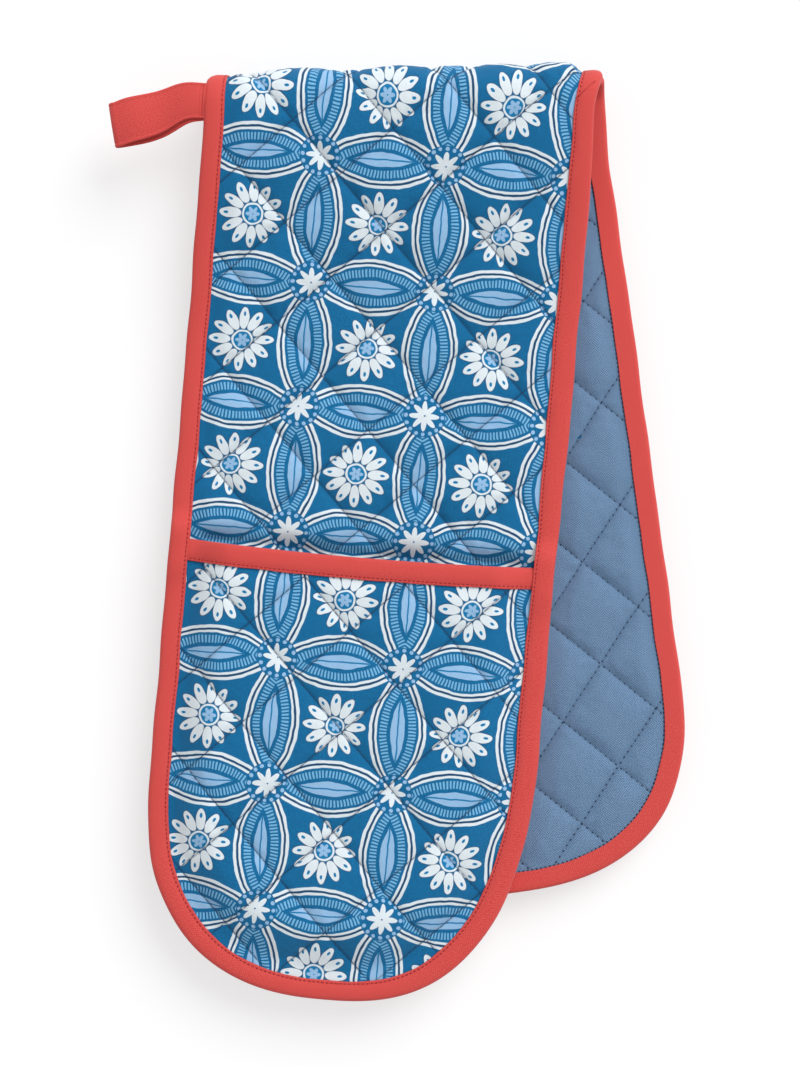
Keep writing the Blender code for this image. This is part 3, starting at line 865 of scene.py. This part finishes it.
def leg_level(side, w):
    """Lower face of the edge binding's outer leg at a distance along the half."""
    over_pocket = LEG_LOW + POCKET_STACK + CLEARANCE
    over_mouth = over_pocket + HALF * UNDER_TAPE
    past = w - side.mouth
    rising = LEG_LOW + (over_mouth - LEG_LOW) * smooth(past, -APPROACH, APPROACH - APPROACH_END)
    falling = over_mouth + (over_pocket - over_mouth) * smooth(past, MOUTH_FLAT, MOUTH_RAMP - MOUTH_FLAT)
    return np.where(past < 0.0, rising, falling)


def edge_points(side, inset):
    """Flat points of the whole edge path at an inset, and each one's distance along the half."""
    count = STRAIGHT_STATIONS + TOE_STATIONS
    inset = np.broadcast_to(inset, HALF * count - 1)
    turn = np.linspace(0.0, math.pi / HALF, TOE_STATIONS)
    paths = []
    for which, part in ((1.0, inset[:count]), (-1.0, inset[: count - HALF : -1])):
        last = side.end - toe_length(side, which * WIDE)
        straight = np.linspace(side.start, last, STRAIGHT_STATIONS + 1)[:-1]
        wide, along = toe_curve(side, which, part[STRAIGHT_STATIONS:], turn)
        beside = which * (WIDE - part[:STRAIGHT_STATIONS])
        paths.append(np.stack([np.concatenate([beside, wide]), np.concatenate([straight, along])]))
    u, w = np.concatenate([paths[0], paths[1][:, -2::-1]], axis=1)
    return u, slanted(side, u, w), w


def path_length(points):
    return np.concatenate([[0.0], np.cumsum(np.linalg.norm(np.diff(points, axis=0), axis=1))])


def tape_from(name, section, path, slot):
    """Tape whose section points follow a path, given as a function of distance in from the edge."""
    columns = []
    uvs = []
    across = 0.0
    last = None
    for inset, level in section:
        u, v, distance = path(inset)
        level = level + 0.0 * u
        columns.append(place(u, v, level))
        if last is not None:
            across += abs(inset - last[0]) + float(np.mean(np.abs(level - last[1])))
        uvs.append(np.stack([across + 0.0 * distance, distance], axis=1))
        last = (inset, level)
    return tape_solid(name, np.stack(columns, axis=1), np.stack(uvs, axis=1), slot)


def extra_width(side):
    """How much wider than elsewhere the edge binding is at each station."""
    u, _, along = edge_points(side, 0.0)
    if side is BACK:
        return 0.0 * u
    return EXTRA_WIDTH * smooth(along, *EXTRA_START) * smooth(u / WIDE, *EXTRA_FADE_SHARES)


def edge_tape(side, slots):
    u, v, along = edge_points(side, 0.0)
    distance = path_length(np.stack([u, v], axis=1))
    extra = extra_width(side)
    ends = smooth(np.minimum(distance, distance[-1] - distance), 0.0, APPROACH)

    def path(inset):
        loose = 1.0 if inset > BINDING_WIDTH / HALF else 0.0
        moved = inset + loose * (extra + ends * RIPPLE * waver(distance, RIPPLE_PITCH, inset / TAPE))
        u, v, _ = edge_points(side, moved)
        return u, v, distance

    section = wrap_section(BINDING_WIDTH, TAPE_TOP + 0.0 * along, leg_level(side, along))
    obj = tape_from(f"{side.name}_edge_tape", section, path, slots["tape"])
    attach(obj, side.name)
    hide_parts(f"{side.name}_edge_binding")


def fold_tape(which, word, slots):
    w = np.linspace(0.0, FOLD_REACH, FOLD_ROWS)
    for sign, name in ((1.0, "upper"), (-1.0, "lower")):

        def path(inset):
            drawn = shoulder(w) * (1.0 - inset / BINDING_WIDTH)
            u = which * (WIDE - inset - drawn)
            return u, sign * w - u * TAN, w

        section = wrap_section(BINDING_WIDTH, TAPE_TOP + 0.0 * w, LEG_LOW + 0.0 * w)
        obj = tape_from(f"fold_tape_{word}_{name}", section, path, slots["tape"])
        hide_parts(f"fold_binding_{word}")
        bend(obj)


def bias_join(slots):
    """Slanting join in the binding at the right end of the fold, drawn as a thin dark-red strip: the join
    is real, its darkness is painted shade for the shadow of the join's step.
    """
    share = np.linspace(0.0, 1.0, FOLD_ROWS)[:, None]
    across = np.linspace(-JOIN_WIDTH, JOIN_WIDTH, JOIN_COLUMNS)[None, :] / HALF
    u = WIDE - BINDING_WIDTH + (BINDING_WIDTH - EDGE_ROUND) * share + 0.0 * across
    w = JOIN_INNER + (JOIN_OUTER - JOIN_INNER) * share + across
    top = LEG_LOW + TAPE + TAPE_SWELL + 0.0 * w
    low = top - STITCH_PROUD * HALF
    # Dark thread colour on the join: painted shade of the join's step
    bend(shell("fold_tape_join_painted_shade", u, w - u * TAN, low, top + STITCH_PROUD, slots["thread_red"]))


def mouth_tape(side, slots):
    reach = WIDE - UNDER_TAPE
    across = np.linspace(-reach, reach, STRAIGHT_STATIONS)
    base = pocket_base(side, across, side.sign * (side.mouth + bow(across)))

    def path(inset):
        loose = RIPPLE if inset > MOUTH_BINDING_WIDTH / HALF else 0.0
        w = side.mouth + bow(across) + inset + loose * waver(across, RIPPLE_PITCH)
        return across, side.sign * w, across

    section = wrap_section(MOUTH_BINDING_WIDTH, base - CLEARANCE, base + POCKET_STACK + CLEARANCE)
    obj = tape_from(f"{side.name}_mouth_tape", section, path, slots["tape"])
    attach(obj, side.name)
    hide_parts(f"{side.name}_pocket_binding")


# Stitches


def stitch_template():
    """Unit stitch along X with pointed, rounded ends."""
    points = []
    for along, radius in STITCH_RING_SHARES:
        for k in range(STITCH_SIDES):
            angle = math.tau * k / STITCH_SIDES
            points.append((along, radius * math.cos(angle), radius * math.sin(angle)))
    last = (len(STITCH_RING_SHARES) - 1) * STITCH_SIDES
    faces = []
    for start in range(0, last, STITCH_SIDES):
        for k in range(STITCH_SIDES):
            a = start + k
            b = start + (k + 1) % STITCH_SIDES
            faces.append((a, b, b + STITCH_SIDES, a + STITCH_SIDES))
    faces.append(tuple(range(STITCH_SIDES))[::-1])
    faces.append(tuple(range(last, last + STITCH_SIDES)))
    return np.array(points), faces


def stitch_row(u, v, n, pitch):
    """Stitch middles, directions and up vectors along a flat path at a level."""
    distance = path_length(np.stack([u, v], axis=1))
    count = int(round(distance[-1] / pitch))
    if count < 1:
        return None
    pitch = distance[-1] / count
    at = (np.arange(count) + 1.0 / HALF) * pitch
    su, sv, sn = (np.interp(at, distance, values) for values in (u, v, n))
    ahead = [np.interp(at + pitch / QUARTER, distance, values) for values in (u, v)]
    middle = place(su, sv, sn)
    return middle, place(*ahead, sn) - middle, place(su, sv, sn + CLEARANCE) - middle


def quilt_rows(side, level, allowed, low, high):
    """Stitch rows along both families of quilting lines, where allowed says so and between two rows."""
    rows = []
    along = np.linspace(-DIAMONDS_ALONG, DIAMONDS_ALONG, DIAMONDS_ALONG * ROW_POINTS)
    for line in range(-DIAMONDS_ALONG, DIAMONDS_ALONG + 1):
        for first, second in ((along, line + 0.0 * along), (line + 0.0 * along, along)):
            u, v = from_lattice(side.quilt, first, second)
            row = side.sign * (v + u * TAN)
            keep = (row > low) & (row < high) & (np.abs(u) < WIDE)
            keep[keep] = allowed(u[keep], v[keep])
            if keep.sum() > MIN_POINTS:
                rows.append(stitch_row(u[keep], v[keep], level(u[keep], v[keep]), QUILT_PITCH))
    return rows


def sew(name, rows, sewing, slot):
    """One object holding many stitches, each a small solid thread."""
    length, radius = sewing
    template, template_faces = stitch_template()
    kept = [row for row in rows if row is not None]
    middle, direction, up = (np.concatenate(parts) for parts in zip(*kept))
    direction = direction / np.linalg.norm(direction, axis=1, keepdims=True)
    side = np.cross(up, direction)
    side = side / np.linalg.norm(side, axis=1, keepdims=True)
    points = middle[:, None, :]
    for k, axis in enumerate((direction * length, side * radius, np.cross(direction, side) * radius)):
        points = points + axis[:, None, :] * template[None, :, k, None]
    faces = []
    for shift in range(0, len(middle) * len(template), len(template)):
        faces += [tuple(index + shift for index in face) for face in template_faces]
    return new_object(name, points.reshape(-1, 3), faces, None, slot)


def make_quilting(side, slots):
    """Quilting stitches seen on a half: on its cover, its lining and its pocket."""

    def on_lining(u, v):
        return edge_distance(side, u, v) > PAST_BINDING

    def on_cover(u, v):
        return on_lining(u, v) & (past_mouth(side, u, v) < 0.0)

    def on_pocket(u, v):
        return on_lining(u, v) & (past_mouth(side, u, v) > MOUTH_BINDING_WIDTH + CLEARANCE)

    groups = (
        ("cover", on_cover, cover_level, STITCH_PROUD, COVER_SEWING),
        ("lining", on_lining, lining_level, -STITCH_PROUD, LINING_SEWING),
        ("pocket", on_pocket, pocket_level, STITCH_PROUD, COVER_SEWING),
    )
    for word, allowed, surface, proud, sewing in groups:

        def level(u, v):
            return surface(side, u, v) + proud

        rows = quilt_rows(side, level, allowed, side.start, side.end + STRIP_WIDTH)
        obj = sew(f"{side.name}_{word}_quilting", rows, sewing, slots[f"thread_{word}"])
        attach(obj, side.name)


def make_seams(side, slots):
    """Stitch lines along a half's bindings."""
    u, v, along = edge_points(side, BINDING_WIDTH - STITCH_INSET + extra_width(side))
    edge = stitch_row(u, v, leg_level(side, along) + SEWN_LEVEL, TOP_PITCH)
    u, v, _ = edge_points(side, BINDING_WIDTH + INNER_STITCH_GAP)
    inner = stitch_row(u, v, LINING_SEWN - STITCH_PROUD + 0.0 * u, TOP_PITCH)
    reach = WIDE - PAST_BINDING
    u = np.linspace(-reach, reach, STRAIGHT_STATIONS)
    rim = side.mouth + bow(u)
    level = pocket_base(side, u, side.sign * rim) + POCKET_STACK + CLEARANCE + SEWN_LEVEL
    mouth = stitch_row(u, side.sign * (rim + MOUTH_BINDING_WIDTH - STITCH_INSET), level, TOP_PITCH)
    lines = (
        ("edge", edge, TOP_SEWING, "thread_red"),
        ("inner", inner, LINING_SEWING, "thread_lining"),
        ("mouth", mouth, TOP_SEWING, "thread_red"),
    )
    for word, row, sewing, slot in lines:
        obj = sew(f"{side.name}_{word}_stitching", [row], sewing, slots[slot])
        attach(obj, side.name)


def make_fold_stitches(side, slots):
    def on_cover(u, v):
        return edge_distance(None, u, v) > PAST_BINDING

    def level(u, v):
        return cover_level(None, u, v) + STITCH_PROUD

    rows = quilt_rows(side, level, on_cover, 0.0, FOLD_REACH)
    bend(sew(f"{side.name}_fold_quilting", rows, COVER_SEWING, slots["thread_cover"]))
    w = np.linspace(0.0, FOLD_REACH, FOLD_ROWS)
    rows = []
    for which in (-1.0, 1.0):
        u = which * (WIDE - BINDING_WIDTH + STITCH_INSET - shoulder(w) * STITCH_INSET / BINDING_WIDTH)
        rows.append(stitch_row(u, side.sign * w - u * TAN, LEG_LOW + SEWN_LEVEL + 0.0 * w, TOP_PITCH))
    bend(sew(f"{side.name}_fold_stitching", rows, TOP_SEWING, slots["thread_red"]))


# Hanging loop


def from_photo(x, y, height=FOCUS_HEIGHT):
    """Place in the row frame of a point of the photograph that lies at a height."""
    nearer = (CAMERA_HEIGHT - height) / (CAMERA_HEIGHT - FOCUS_HEIGHT)
    middle_x = PHOTO_SIZE[0] / HALF
    middle_y = PHOTO_SIZE[1] / HALF
    dx = (middle_x + (x - middle_x) * nearer - FOLD_PIXEL[0]) * METRES_PER_PIXEL
    dy = (FOLD_PIXEL[1] - middle_y - (y - middle_y) * nearer) * METRES_PER_PIXEL
    across = dx * math.cos(ROLL) + dy * math.sin(ROLL)
    up = -dx * math.sin(ROLL) + dy * math.cos(ROLL)
    return FOLD_X + across, FOLD_Y + up


def relaxed(values):
    """Rounds the corners of a broken line, ends kept."""
    kernel = np.ones(LOOP_SMOOTHING) / LOOP_SMOOTHING
    edge = LOOP_SMOOTHING // HALF
    for _ in range(LOOP_SMOOTHINGS):
        padded = np.concatenate([[values[0]] * edge, values, [values[-1]] * edge])
        made = np.convolve(padded, kernel, "valid")
        values = np.concatenate([values[:1], made[1:-1], values[-1:]])
    return values


def loop_section():
    """Shares of the band's width and wall, once round it. The hems on both edges are thinner."""
    half = list(LOOP_SECTION_SHARES)
    upper = half + [(-across, tall) for across, tall in reversed(half[:-1])]
    return upper + [(across, -tall) for across, tall in reversed(upper)]


def bound_edge(y):
    """How far left the fold's binding and the front half's reach at a height above the table."""
    w = np.linspace(0.0, FOLD_REACH * HALF, TOE_TABLE)
    u = shoulder(w) - WIDE
    v = np.where(w < FOLD_REACH, w - u * TAN, slanted(FRONT, u, w))
    line = place(u, v, (LEG_LOW + TAPE) / HALF)
    return np.interp(-y, -line[:, 1], line[:, 0])


def loop_layer():
    """Distance, upper edge and lower edge of the upper layer, and how far the layer under it slips."""
    edges = []
    for pixels in (LOOP_TOP_PIXELS, LOOP_LOW_PIXELS):
        line = np.array([from_photo(x, y, LOOP_HEIGHT + LOOP_EYE / HALF) for x, y in pixels])
        line[0, 0] = bound_edge(line[0, 1]) + LOOP_TUCK
        edges.append(line)
    distance = path_length((edges[0] + edges[1]) / HALF)
    t = np.linspace(0.0, distance[-1], LOOP_STEPS)

    def spread(values):
        return relaxed(np.interp(t, distance, values))

    top, low = (np.stack([spread(line[:, 0]), spread(line[:, 1])], axis=1) for line in edges)
    return t, top, low, spread(LOOP_SLIPS)


def hanging_loop(slots):
    t, top, low, slip = loop_layer()
    share = t / t[-1]
    half = LOOP_ROOT + (LOOP_EYE / HALF - LOOP_ROOT) * smooth(share, *LOOP_OPEN_SHARES)
    middle = (top + low) / HALF
    width = np.linalg.norm(top - low, axis=1)
    across = (top - low) / width[:, None]
    turn = np.linspace(math.pi / HALF, -math.pi / HALF, LOOP_TURN_STEPS)[1:-1]
    heading = np.array([-across[-1, 1], across[-1, 0]])
    tip = middle[-1] + heading * (half[-1] * np.cos(turn))[:, None]
    flat = np.concatenate([middle, tip, (middle - across * slip[:, None])[::-1]])
    wave = LOOP_WAVE * np.sin(share * math.pi * LOOP_WAVES)
    crease = sum(np.exp(-(((t - at) / LOOP_CREASE_WIDTH) ** HALF)) for at in LOOP_CREASE_PLACES)
    upper = half + wave - LOOP_CREASE * crease
    level = np.concatenate([upper, wave[-1] + half[-1] * np.sin(turn), (wave - half)[::-1]])
    centre = np.concatenate([flat, (LOOP_HEIGHT + level)[:, None]], axis=1)
    side = np.concatenate([across, np.repeat(across[-1:], len(turn), axis=0), across[::-1]])
    side = np.concatenate([side, np.zeros((len(side), 1))], axis=1)
    wide = np.concatenate([width, np.full(len(turn), width[-1]), width[::-1]])[:, None]
    out = np.cross(side, np.gradient(centre, axis=0))
    out /= np.linalg.norm(out, axis=1, keepdims=True)
    length = path_length(centre)
    columns = []
    uvs = []
    for beside, tall in loop_section():
        columns.append(centre + side * wide * beside + out * tall * LOOP_WALL / HALF)
        uvs.append(np.stack([beside * wide[:, 0], length], axis=1))
    obj = tape_solid("loop_tape", np.stack(columns, axis=1), np.stack(uvs, axis=1), slots["tape"])
    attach(obj, "loop")
    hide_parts("hanging_loop")


# Materials


class Graph:
    """Short ways to add shader nodes. Values are sockets or numbers."""

    def __init__(self, name):
        self.material = bpy.data.materials.new(name)
        self.material.use_nodes = True
        self.tree = self.material.node_tree
        self.shader = self.tree.nodes["Principled BSDF"]

    def put(self, socket, value):
        if isinstance(value, bpy.types.NodeSocket):
            self.tree.links.new(value, socket)
        else:
            socket.default_value = value

    def node(self, kind, inputs, **settings):
        """New node with its settings, and with its inputs given by name or number."""
        node = self.tree.nodes.new("ShaderNode" + kind)
        for key, value in settings.items():
            setattr(node, key, value)
        for key, value in inputs.items():
            self.put(node.inputs[key], value)
        return node

    def math(self, operation, *values):
        return self.node("Math", dict(enumerate(values)), operation=operation).outputs[0]

    def add(self, a, b):
        return self.math("ADD", a, b)

    def sub(self, a, b):
        return self.math("SUBTRACT", a, b)

    def mul(self, a, b):
        return self.math("MULTIPLY", a, b)

    def weighted(self, values, shares):
        """Sum of values, each times its share."""
        total = 0.0
        for value, share in zip(values, shares):
            total = self.add(self.mul(value, share), total)
        return total

    def length(self, a, b):
        return self.math("SQRT", self.add(self.mul(a, a), self.mul(b, b)))

    def below(self, value, limit, soft):
        """1 where value is under the limit, with a soft step."""
        inputs = {"Value": value, "From Min": limit - soft, "From Max": limit + soft}
        inputs |= {"To Min": 1.0, "To Max": 0.0}
        return self.node("MapRange", inputs, interpolation_type="SMOOTHSTEP").outputs[0]

    def wrap(self, value, period):
        return self.math("WRAP", value, period / HALF, -period / HALF)

    def mix(self, share, a, b):
        inputs = {"Factor": share, MIX_FIRST: a, MIX_SECOND: b}
        return self.node("Mix", inputs, data_type="RGBA").outputs[MIX_RESULT]

    def noise(self, vector, scale, detail=1.0, roughness=1.0 / HALF):
        inputs = {"Vector": vector, "Scale": scale, "Detail": detail, "Roughness": roughness}
        return self.node("TexNoise", inputs)

    def grain(self, vector, scale, contrast):
        """Fine noise spread over 0 to 1, as crossing yarns show."""
        fine = self.noise(vector, scale, GRAIN_DETAIL, GRAIN_ROUGHNESS).outputs["Fac"]
        inputs = {0: fine, 1: contrast, 2: (1.0 - contrast) / HALF}
        return self.node("Math", inputs, operation="MULTIPLY_ADD", use_clamp=True).outputs[0]

    def flat(self):
        """Flat pattern coordinates, in metres: vector, u and v."""
        vector = self.node("UVMap", {}, uv_map="flat").outputs[0]
        split = self.node("SeparateXYZ", {0: vector})
        return vector, split.outputs[0], split.outputs[1]

    def weave(self, u, v, pitch):
        """Plain weave: 0 to 1 height from crossing threads."""
        a = self.math("SINE", self.mul(u, math.tau / pitch))
        b = self.math("SINE", self.mul(v, math.tau / pitch))
        return self.add(self.mul(self.mul(a, b), 1.0 / HALF), 1.0 / HALF)

    def slub(self, u, v, scales):
        """Uneven yarns that run one way."""
        stretched = self.node("CombineXYZ", {0: self.mul(u, scales[0]), 1: self.mul(v, scales[1])})
        return self.grain(stretched.outputs[0], 1.0, SLUB_CONTRAST)

    def bump(self, height, distance, strength):
        node = self.node("Bump", {"Strength": strength, "Distance": distance, "Height": height})
        self.tree.links.new(node.outputs[0], self.shader.inputs["Normal"])

    def cotton(self, colour, roughness):
        """Dry cloth of a colour. Returns the finished material."""
        for name, value in (("Base Color", colour), ("Roughness", roughness), *COTTON_LOOKS):
            self.put(self.shader.inputs[name], value)
        return self.material


def seam_distance(g, u, v, quilt):
    """Distance to the nearest quilting line."""
    start_u, start_v, half_u, half_v, lean = quilt
    past = g.sub(v, start_v)
    along = g.mul(past, 1.0 / (HALF * half_v))
    across = g.mul(g.sub(g.sub(u, start_u), g.mul(past, lean)), 1.0 / (HALF * half_u))
    lines = [g.math("ABSOLUTE", g.wrap(line, 1.0)) for line in (g.add(along, across), g.sub(along, across))]
    return g.mul(g.math("MINIMUM", *lines), DIAMOND)


def seams(g, u, v):
    """How far a point lies down the valley of a quilting line, and in the crease at its bottom. Both masks
    set painted shade along the lines; the valley also sets a bump.
    """
    front = seam_distance(g, u, v, FRONT_QUILT)
    back = seam_distance(g, u, v, BACK_QUILT)
    behind = g.below(v, -sum(QUILT_CHANGE) / HALF, QUILT_CHANGE[0])
    distance = g.add(front, g.mul(behind, g.sub(back, front)))
    return g.below(distance, VALLEY, VALLEY), g.below(distance, CREASE, CREASE)


def petals(g, x, y, count, middle, reach, width):
    """Ring of rounded petals round a centre."""
    radius = g.length(x, y)
    across = g.mul(g.wrap(g.math("ARCTAN2", y, x), math.tau / count), radius)
    a = g.mul(g.sub(radius, middle), 1.0 / reach)
    b = g.mul(across, 1.0 / width)
    return g.below(g.length(a, b), 1.0, PETAL_SOFT_SHARE)


def band(g, value, line, soft=PRINT_SOFT):
    """1 on a drawn line, given by its middle and half its width."""
    middle, half = line
    return g.below(g.math("ABSOLUTE", g.sub(value, middle)), half, soft)


def circles(g, colour, a, b):
    """Overlapping circles whose lenses hold hatching and a veined leaf."""
    for first, second in ((a, b), (b, a)):
        far = g.sub(PRINT_PITCH, first)
        depth = g.sub(g.length(far, second), ARC)
        dash = g.math("COSINE", g.mul(g.math("ARCTAN2", second, far), HATCHES))
        dash_on = g.below(g.mul(dash, -1.0), HATCH_SHARE, HATCH_SOFT_SHARE)
        colour = g.mix(g.mul(dash_on, band(g, depth, HATCH_BAND, HATCH_EDGE)), colour, HATCH)
        leaf = g.below(depth, LEAF_DEPTH, PRINT_SOFT)
        colour = g.mix(leaf, colour, PALE)
        vein = band(g, first, (PRINT_PITCH / HALF, LEAF_VEIN))
        colour = g.mix(g.mul(leaf, vein), colour, BLUE)
        for line, paint in ((RING_GAP, BLUE_DARK), (OUTER_RING, WHITE), (INNER_RING, WHITE)):
            colour = g.mix(band(g, depth, line), colour, paint)
    return colour


def daisy(g, colour, x, y):
    radius = g.length(x, y)
    for shape, paint in ((DAISY_OUTLINE, BLUE_DARK), (DAISY_PETALS, WHITE), (DAISY_DOTS, BLUE)):
        colour = g.mix(petals(g, x, y, *shape), colour, paint)
    for reach, paint in ((DAISY_RIM, WHITE), (DAISY_EYE, BLUE)):
        colour = g.mix(g.below(radius, reach, PRINT_SOFT), colour, paint)
    return g.mix(petals(g, x, y, *DAISY_HEART), colour, PALE)


def star(g, colour, x, y, ground):
    """Small flower in a ring of dots where the circles meet."""
    colour = g.mix(g.below(g.length(x, y), STAR_GROUND, PRINT_SOFT), colour, ground)
    colour = g.mix(petals(g, x, y, *STAR_DOTS), colour, PALE)
    return g.mix(petals(g, x, y, *STAR_PETALS), colour, WHITE)


def print_material():
    """Traditional lattice of overlapping circles with daisies, in the cover's colours, with painted shade
    in the valleys and creases of the quilting lines.
    """
    g = Graph("printed_cotton_cloth")
    vector, u, v = g.flat()
    drift = g.node("SeparateColor", {0: g.noise(vector, WOBBLE_SCALE).outputs["Color"]})
    drawn = []
    for flat, start, wander in ((u, PRINT_U, drift.outputs[0]), (v, PRINT_V, drift.outputs[1])):
        drawn.append(g.add(g.sub(flat, start), g.mul(g.sub(wander, 1.0 / HALF), WOBBLE)))
    x, y = (g.wrap(place_in, PRINT_PITCH) for place_in in drawn)
    x_mid, y_mid = (g.wrap(g.add(place_in, PRINT_PITCH / HALF), PRINT_PITCH) for place_in in drawn)
    fine = g.grain(vector, COVER_GRAIN_SCALE, GRAIN_CONTRAST)
    threads = g.weave(u, v, COVER_WEAVE)
    cloth = g.weighted((fine, threads), (COVER_FINE_SHARE, 1.0 - COVER_FINE_SHARE))
    ground = g.mix(cloth, BLUE, BLUE_DEEP)
    colour = circles(g, ground, g.math("ABSOLUTE", x), g.math("ABSOLUTE", y))
    colour = daisy(g, colour, x, y)
    colour = star(g, colour, x_mid, y_mid, ground)
    valley, crease = seams(g, u, v)
    # Painted shade in the quilting valleys and creases, together with the darkening from the cloth's own
    # grain
    dark = g.weighted((valley, crease, cloth), COVER_SHADE_AND_GRAIN_SHARES)
    height = g.sub(g.add(threads, g.mul(fine, COVER_BUMP_SHARE)), g.mul(valley, VALLEY_DEPTHS))
    g.bump(height, *COVER_BUMP)
    return g.cotton(g.mix(dark, colour, SHADE), COTTON_ROUGHNESS)


def tape_material():
    g = Graph("red_tape_cloth")
    vector, u, v = g.flat()
    threads = g.weave(u, v, TAPE_WEAVE)
    fine = g.grain(vector, TAPE_GRAIN_SCALE, GRAIN_CONTRAST)
    cloud = g.grain(vector, CLOUD_SCALE, 1.0)
    share = g.weighted((fine, cloud, threads), TAPE_SHARES)
    g.bump(g.add(threads, g.mul(fine, TAPE_BUMP_SHARE)), *TAPE_BUMP)
    return g.cotton(g.mix(share, RED, RED_DEEP), COTTON_ROUGHNESS)


def chambray_material():
    g = Graph("chambray_cloth")
    vector, u, v = g.flat()
    threads = g.weave(u, v, LINING_WEAVE)
    fine = g.grain(vector, LINING_GRAIN_SCALE, GRAIN_CONTRAST)
    slubs = [g.slub(u, v, scales) for scales in (SLUB_SCALES, SLUB_SCALES[::-1])]
    share = g.weighted((threads, fine, *slubs), LINING_SHARES)
    valley, crease = seams(g, u, v)
    # Painted shade in the valleys and creases of the quilting lines
    dark = g.weighted((valley, crease), LINING_PAINTED_SHADE_SHARES)
    g.bump(g.sub(g.add(threads, fine), g.mul(valley, VALLEY_DEPTHS)), *LINING_BUMP)
    return g.cotton(g.mix(dark, g.mix(share, CHAMBRAY_DARK, CHAMBRAY), SHADE), LINING_ROUGHNESS)


def thread_material(name, colour):
    g = Graph(name)
    twist = g.noise(g.node("TexCoord", {}).outputs["Object"], TWIST_SCALE).outputs["Fac"]
    dark = tuple(channel * THREAD_DARK_SHARE for channel in colour[:3]) + (1.0,)
    return g.cotton(g.mix(twist, colour, dark), THREAD_ROUGHNESS)


# Setting


def floor():
    g = Graph("pale_floor")
    seen = g.node("LightPath", {}).outputs["Is Camera Ray"]
    looks = {
        "Base Color": FLOOR_COLOUR,
        "Emission Color": FLOOR_COLOUR,
        "Emission Strength": g.mul(seen, FLOOR_LIFT_SHARE),
        "Roughness": FLOOR_ROUGHNESS,
        "Specular IOR Level": FLOOR_SPECULAR,
    }
    for name, value in looks.items():
        g.put(g.shader.inputs[name], value)
    pale = g.node("Emission", {})
    share = g.mul(seen, FLOOR_PALE_SHARE)
    both = g.node("MixShader", {0: share, 1: g.shader.outputs[0], 2: pale.outputs[0]})
    g.tree.links.new(both.outputs[0], g.tree.nodes["Material Output"].inputs["Surface"])
    size = FLOOR_SIZE / HALF
    corners = [(x * size, y * size, -FLOOR_DROP) for x, y in ((-1, -1), (1, -1), (1, 1), (-1, 1))]
    new_object("floor", corners, [(0, 1, 2, 3)], None, g.material)


def lights():
    world = bpy.data.worlds.new("studio")
    bpy.context.scene.world = world
    world.use_nodes = True
    nodes = world.node_tree.nodes
    background = nodes["Background"]
    background.inputs["Color"].default_value = WORLD_COLOUR
    seen = nodes.new("ShaderNodeLightPath").outputs["Is Camera Ray"]
    strength = nodes.new("ShaderNodeMapRange")
    strength.inputs["To Min"].default_value = WORLD_LIGHT
    world.node_tree.links.new(seen, strength.inputs["Value"])
    world.node_tree.links.new(strength.outputs[0], background.inputs["Strength"])
    lamp = bpy.data.lights.new("key", "SUN")
    lamp.energy = KEY_LIGHT
    lamp.angle = KEY_SPREAD
    key = bpy.data.objects.new("key", lamp)
    key.rotation_euler = (KEY_TILT, 0.0, KEY_TURN)
    bpy.context.scene.collection.objects.link(key)


def camera():
    data = bpy.data.cameras.new("camera")
    data.sensor_fit = "VERTICAL"
    data.sensor_height = SENSOR
    view = PHOTO_SIZE[1] * METRES_PER_PIXEL
    data.lens = SENSOR * (CAMERA_HEIGHT - FOCUS_HEIGHT) / view
    obj = bpy.data.objects.new("camera", data)
    x, y = from_photo(PHOTO_SIZE[0] / HALF, PHOTO_SIZE[1] / HALF)
    obj.location = (x, y, CAMERA_HEIGHT)
    obj.rotation_euler = (0.0, 0.0, -ROLL)
    bpy.context.scene.collection.objects.link(obj)
    bpy.context.scene.camera = obj


def main():
    slots = {
        "print": print_material(),
        "chambray": chambray_material(),
        "tape": tape_material(),
        "thread_cover": thread_material("quilting_thread", THREAD_BLUE),
        "thread_lining": thread_material("lining_thread", LINING_THREAD),
        "thread_red": thread_material("top_thread", RED_THREAD),
    }
    slots["thread_pocket"] = slots["thread_cover"]
    make_fold(slots)
    for side in (FRONT, BACK):
        make_pad(side, slots)
        make_pocket(side, slots)
        edge_tape(side, slots)
        mouth_tape(side, slots)
        make_quilting(side, slots)
        make_seams(side, slots)
        make_fold_stitches(side, slots)
    bias_join(slots)
    fold_tape(-1.0, "left", slots)
    fold_tape(1.0, "right", slots)
    hanging_loop(slots)
    floor()
    lights()
    camera()
    bpy.context.scene.view_settings.view_transform = "Standard"


main()
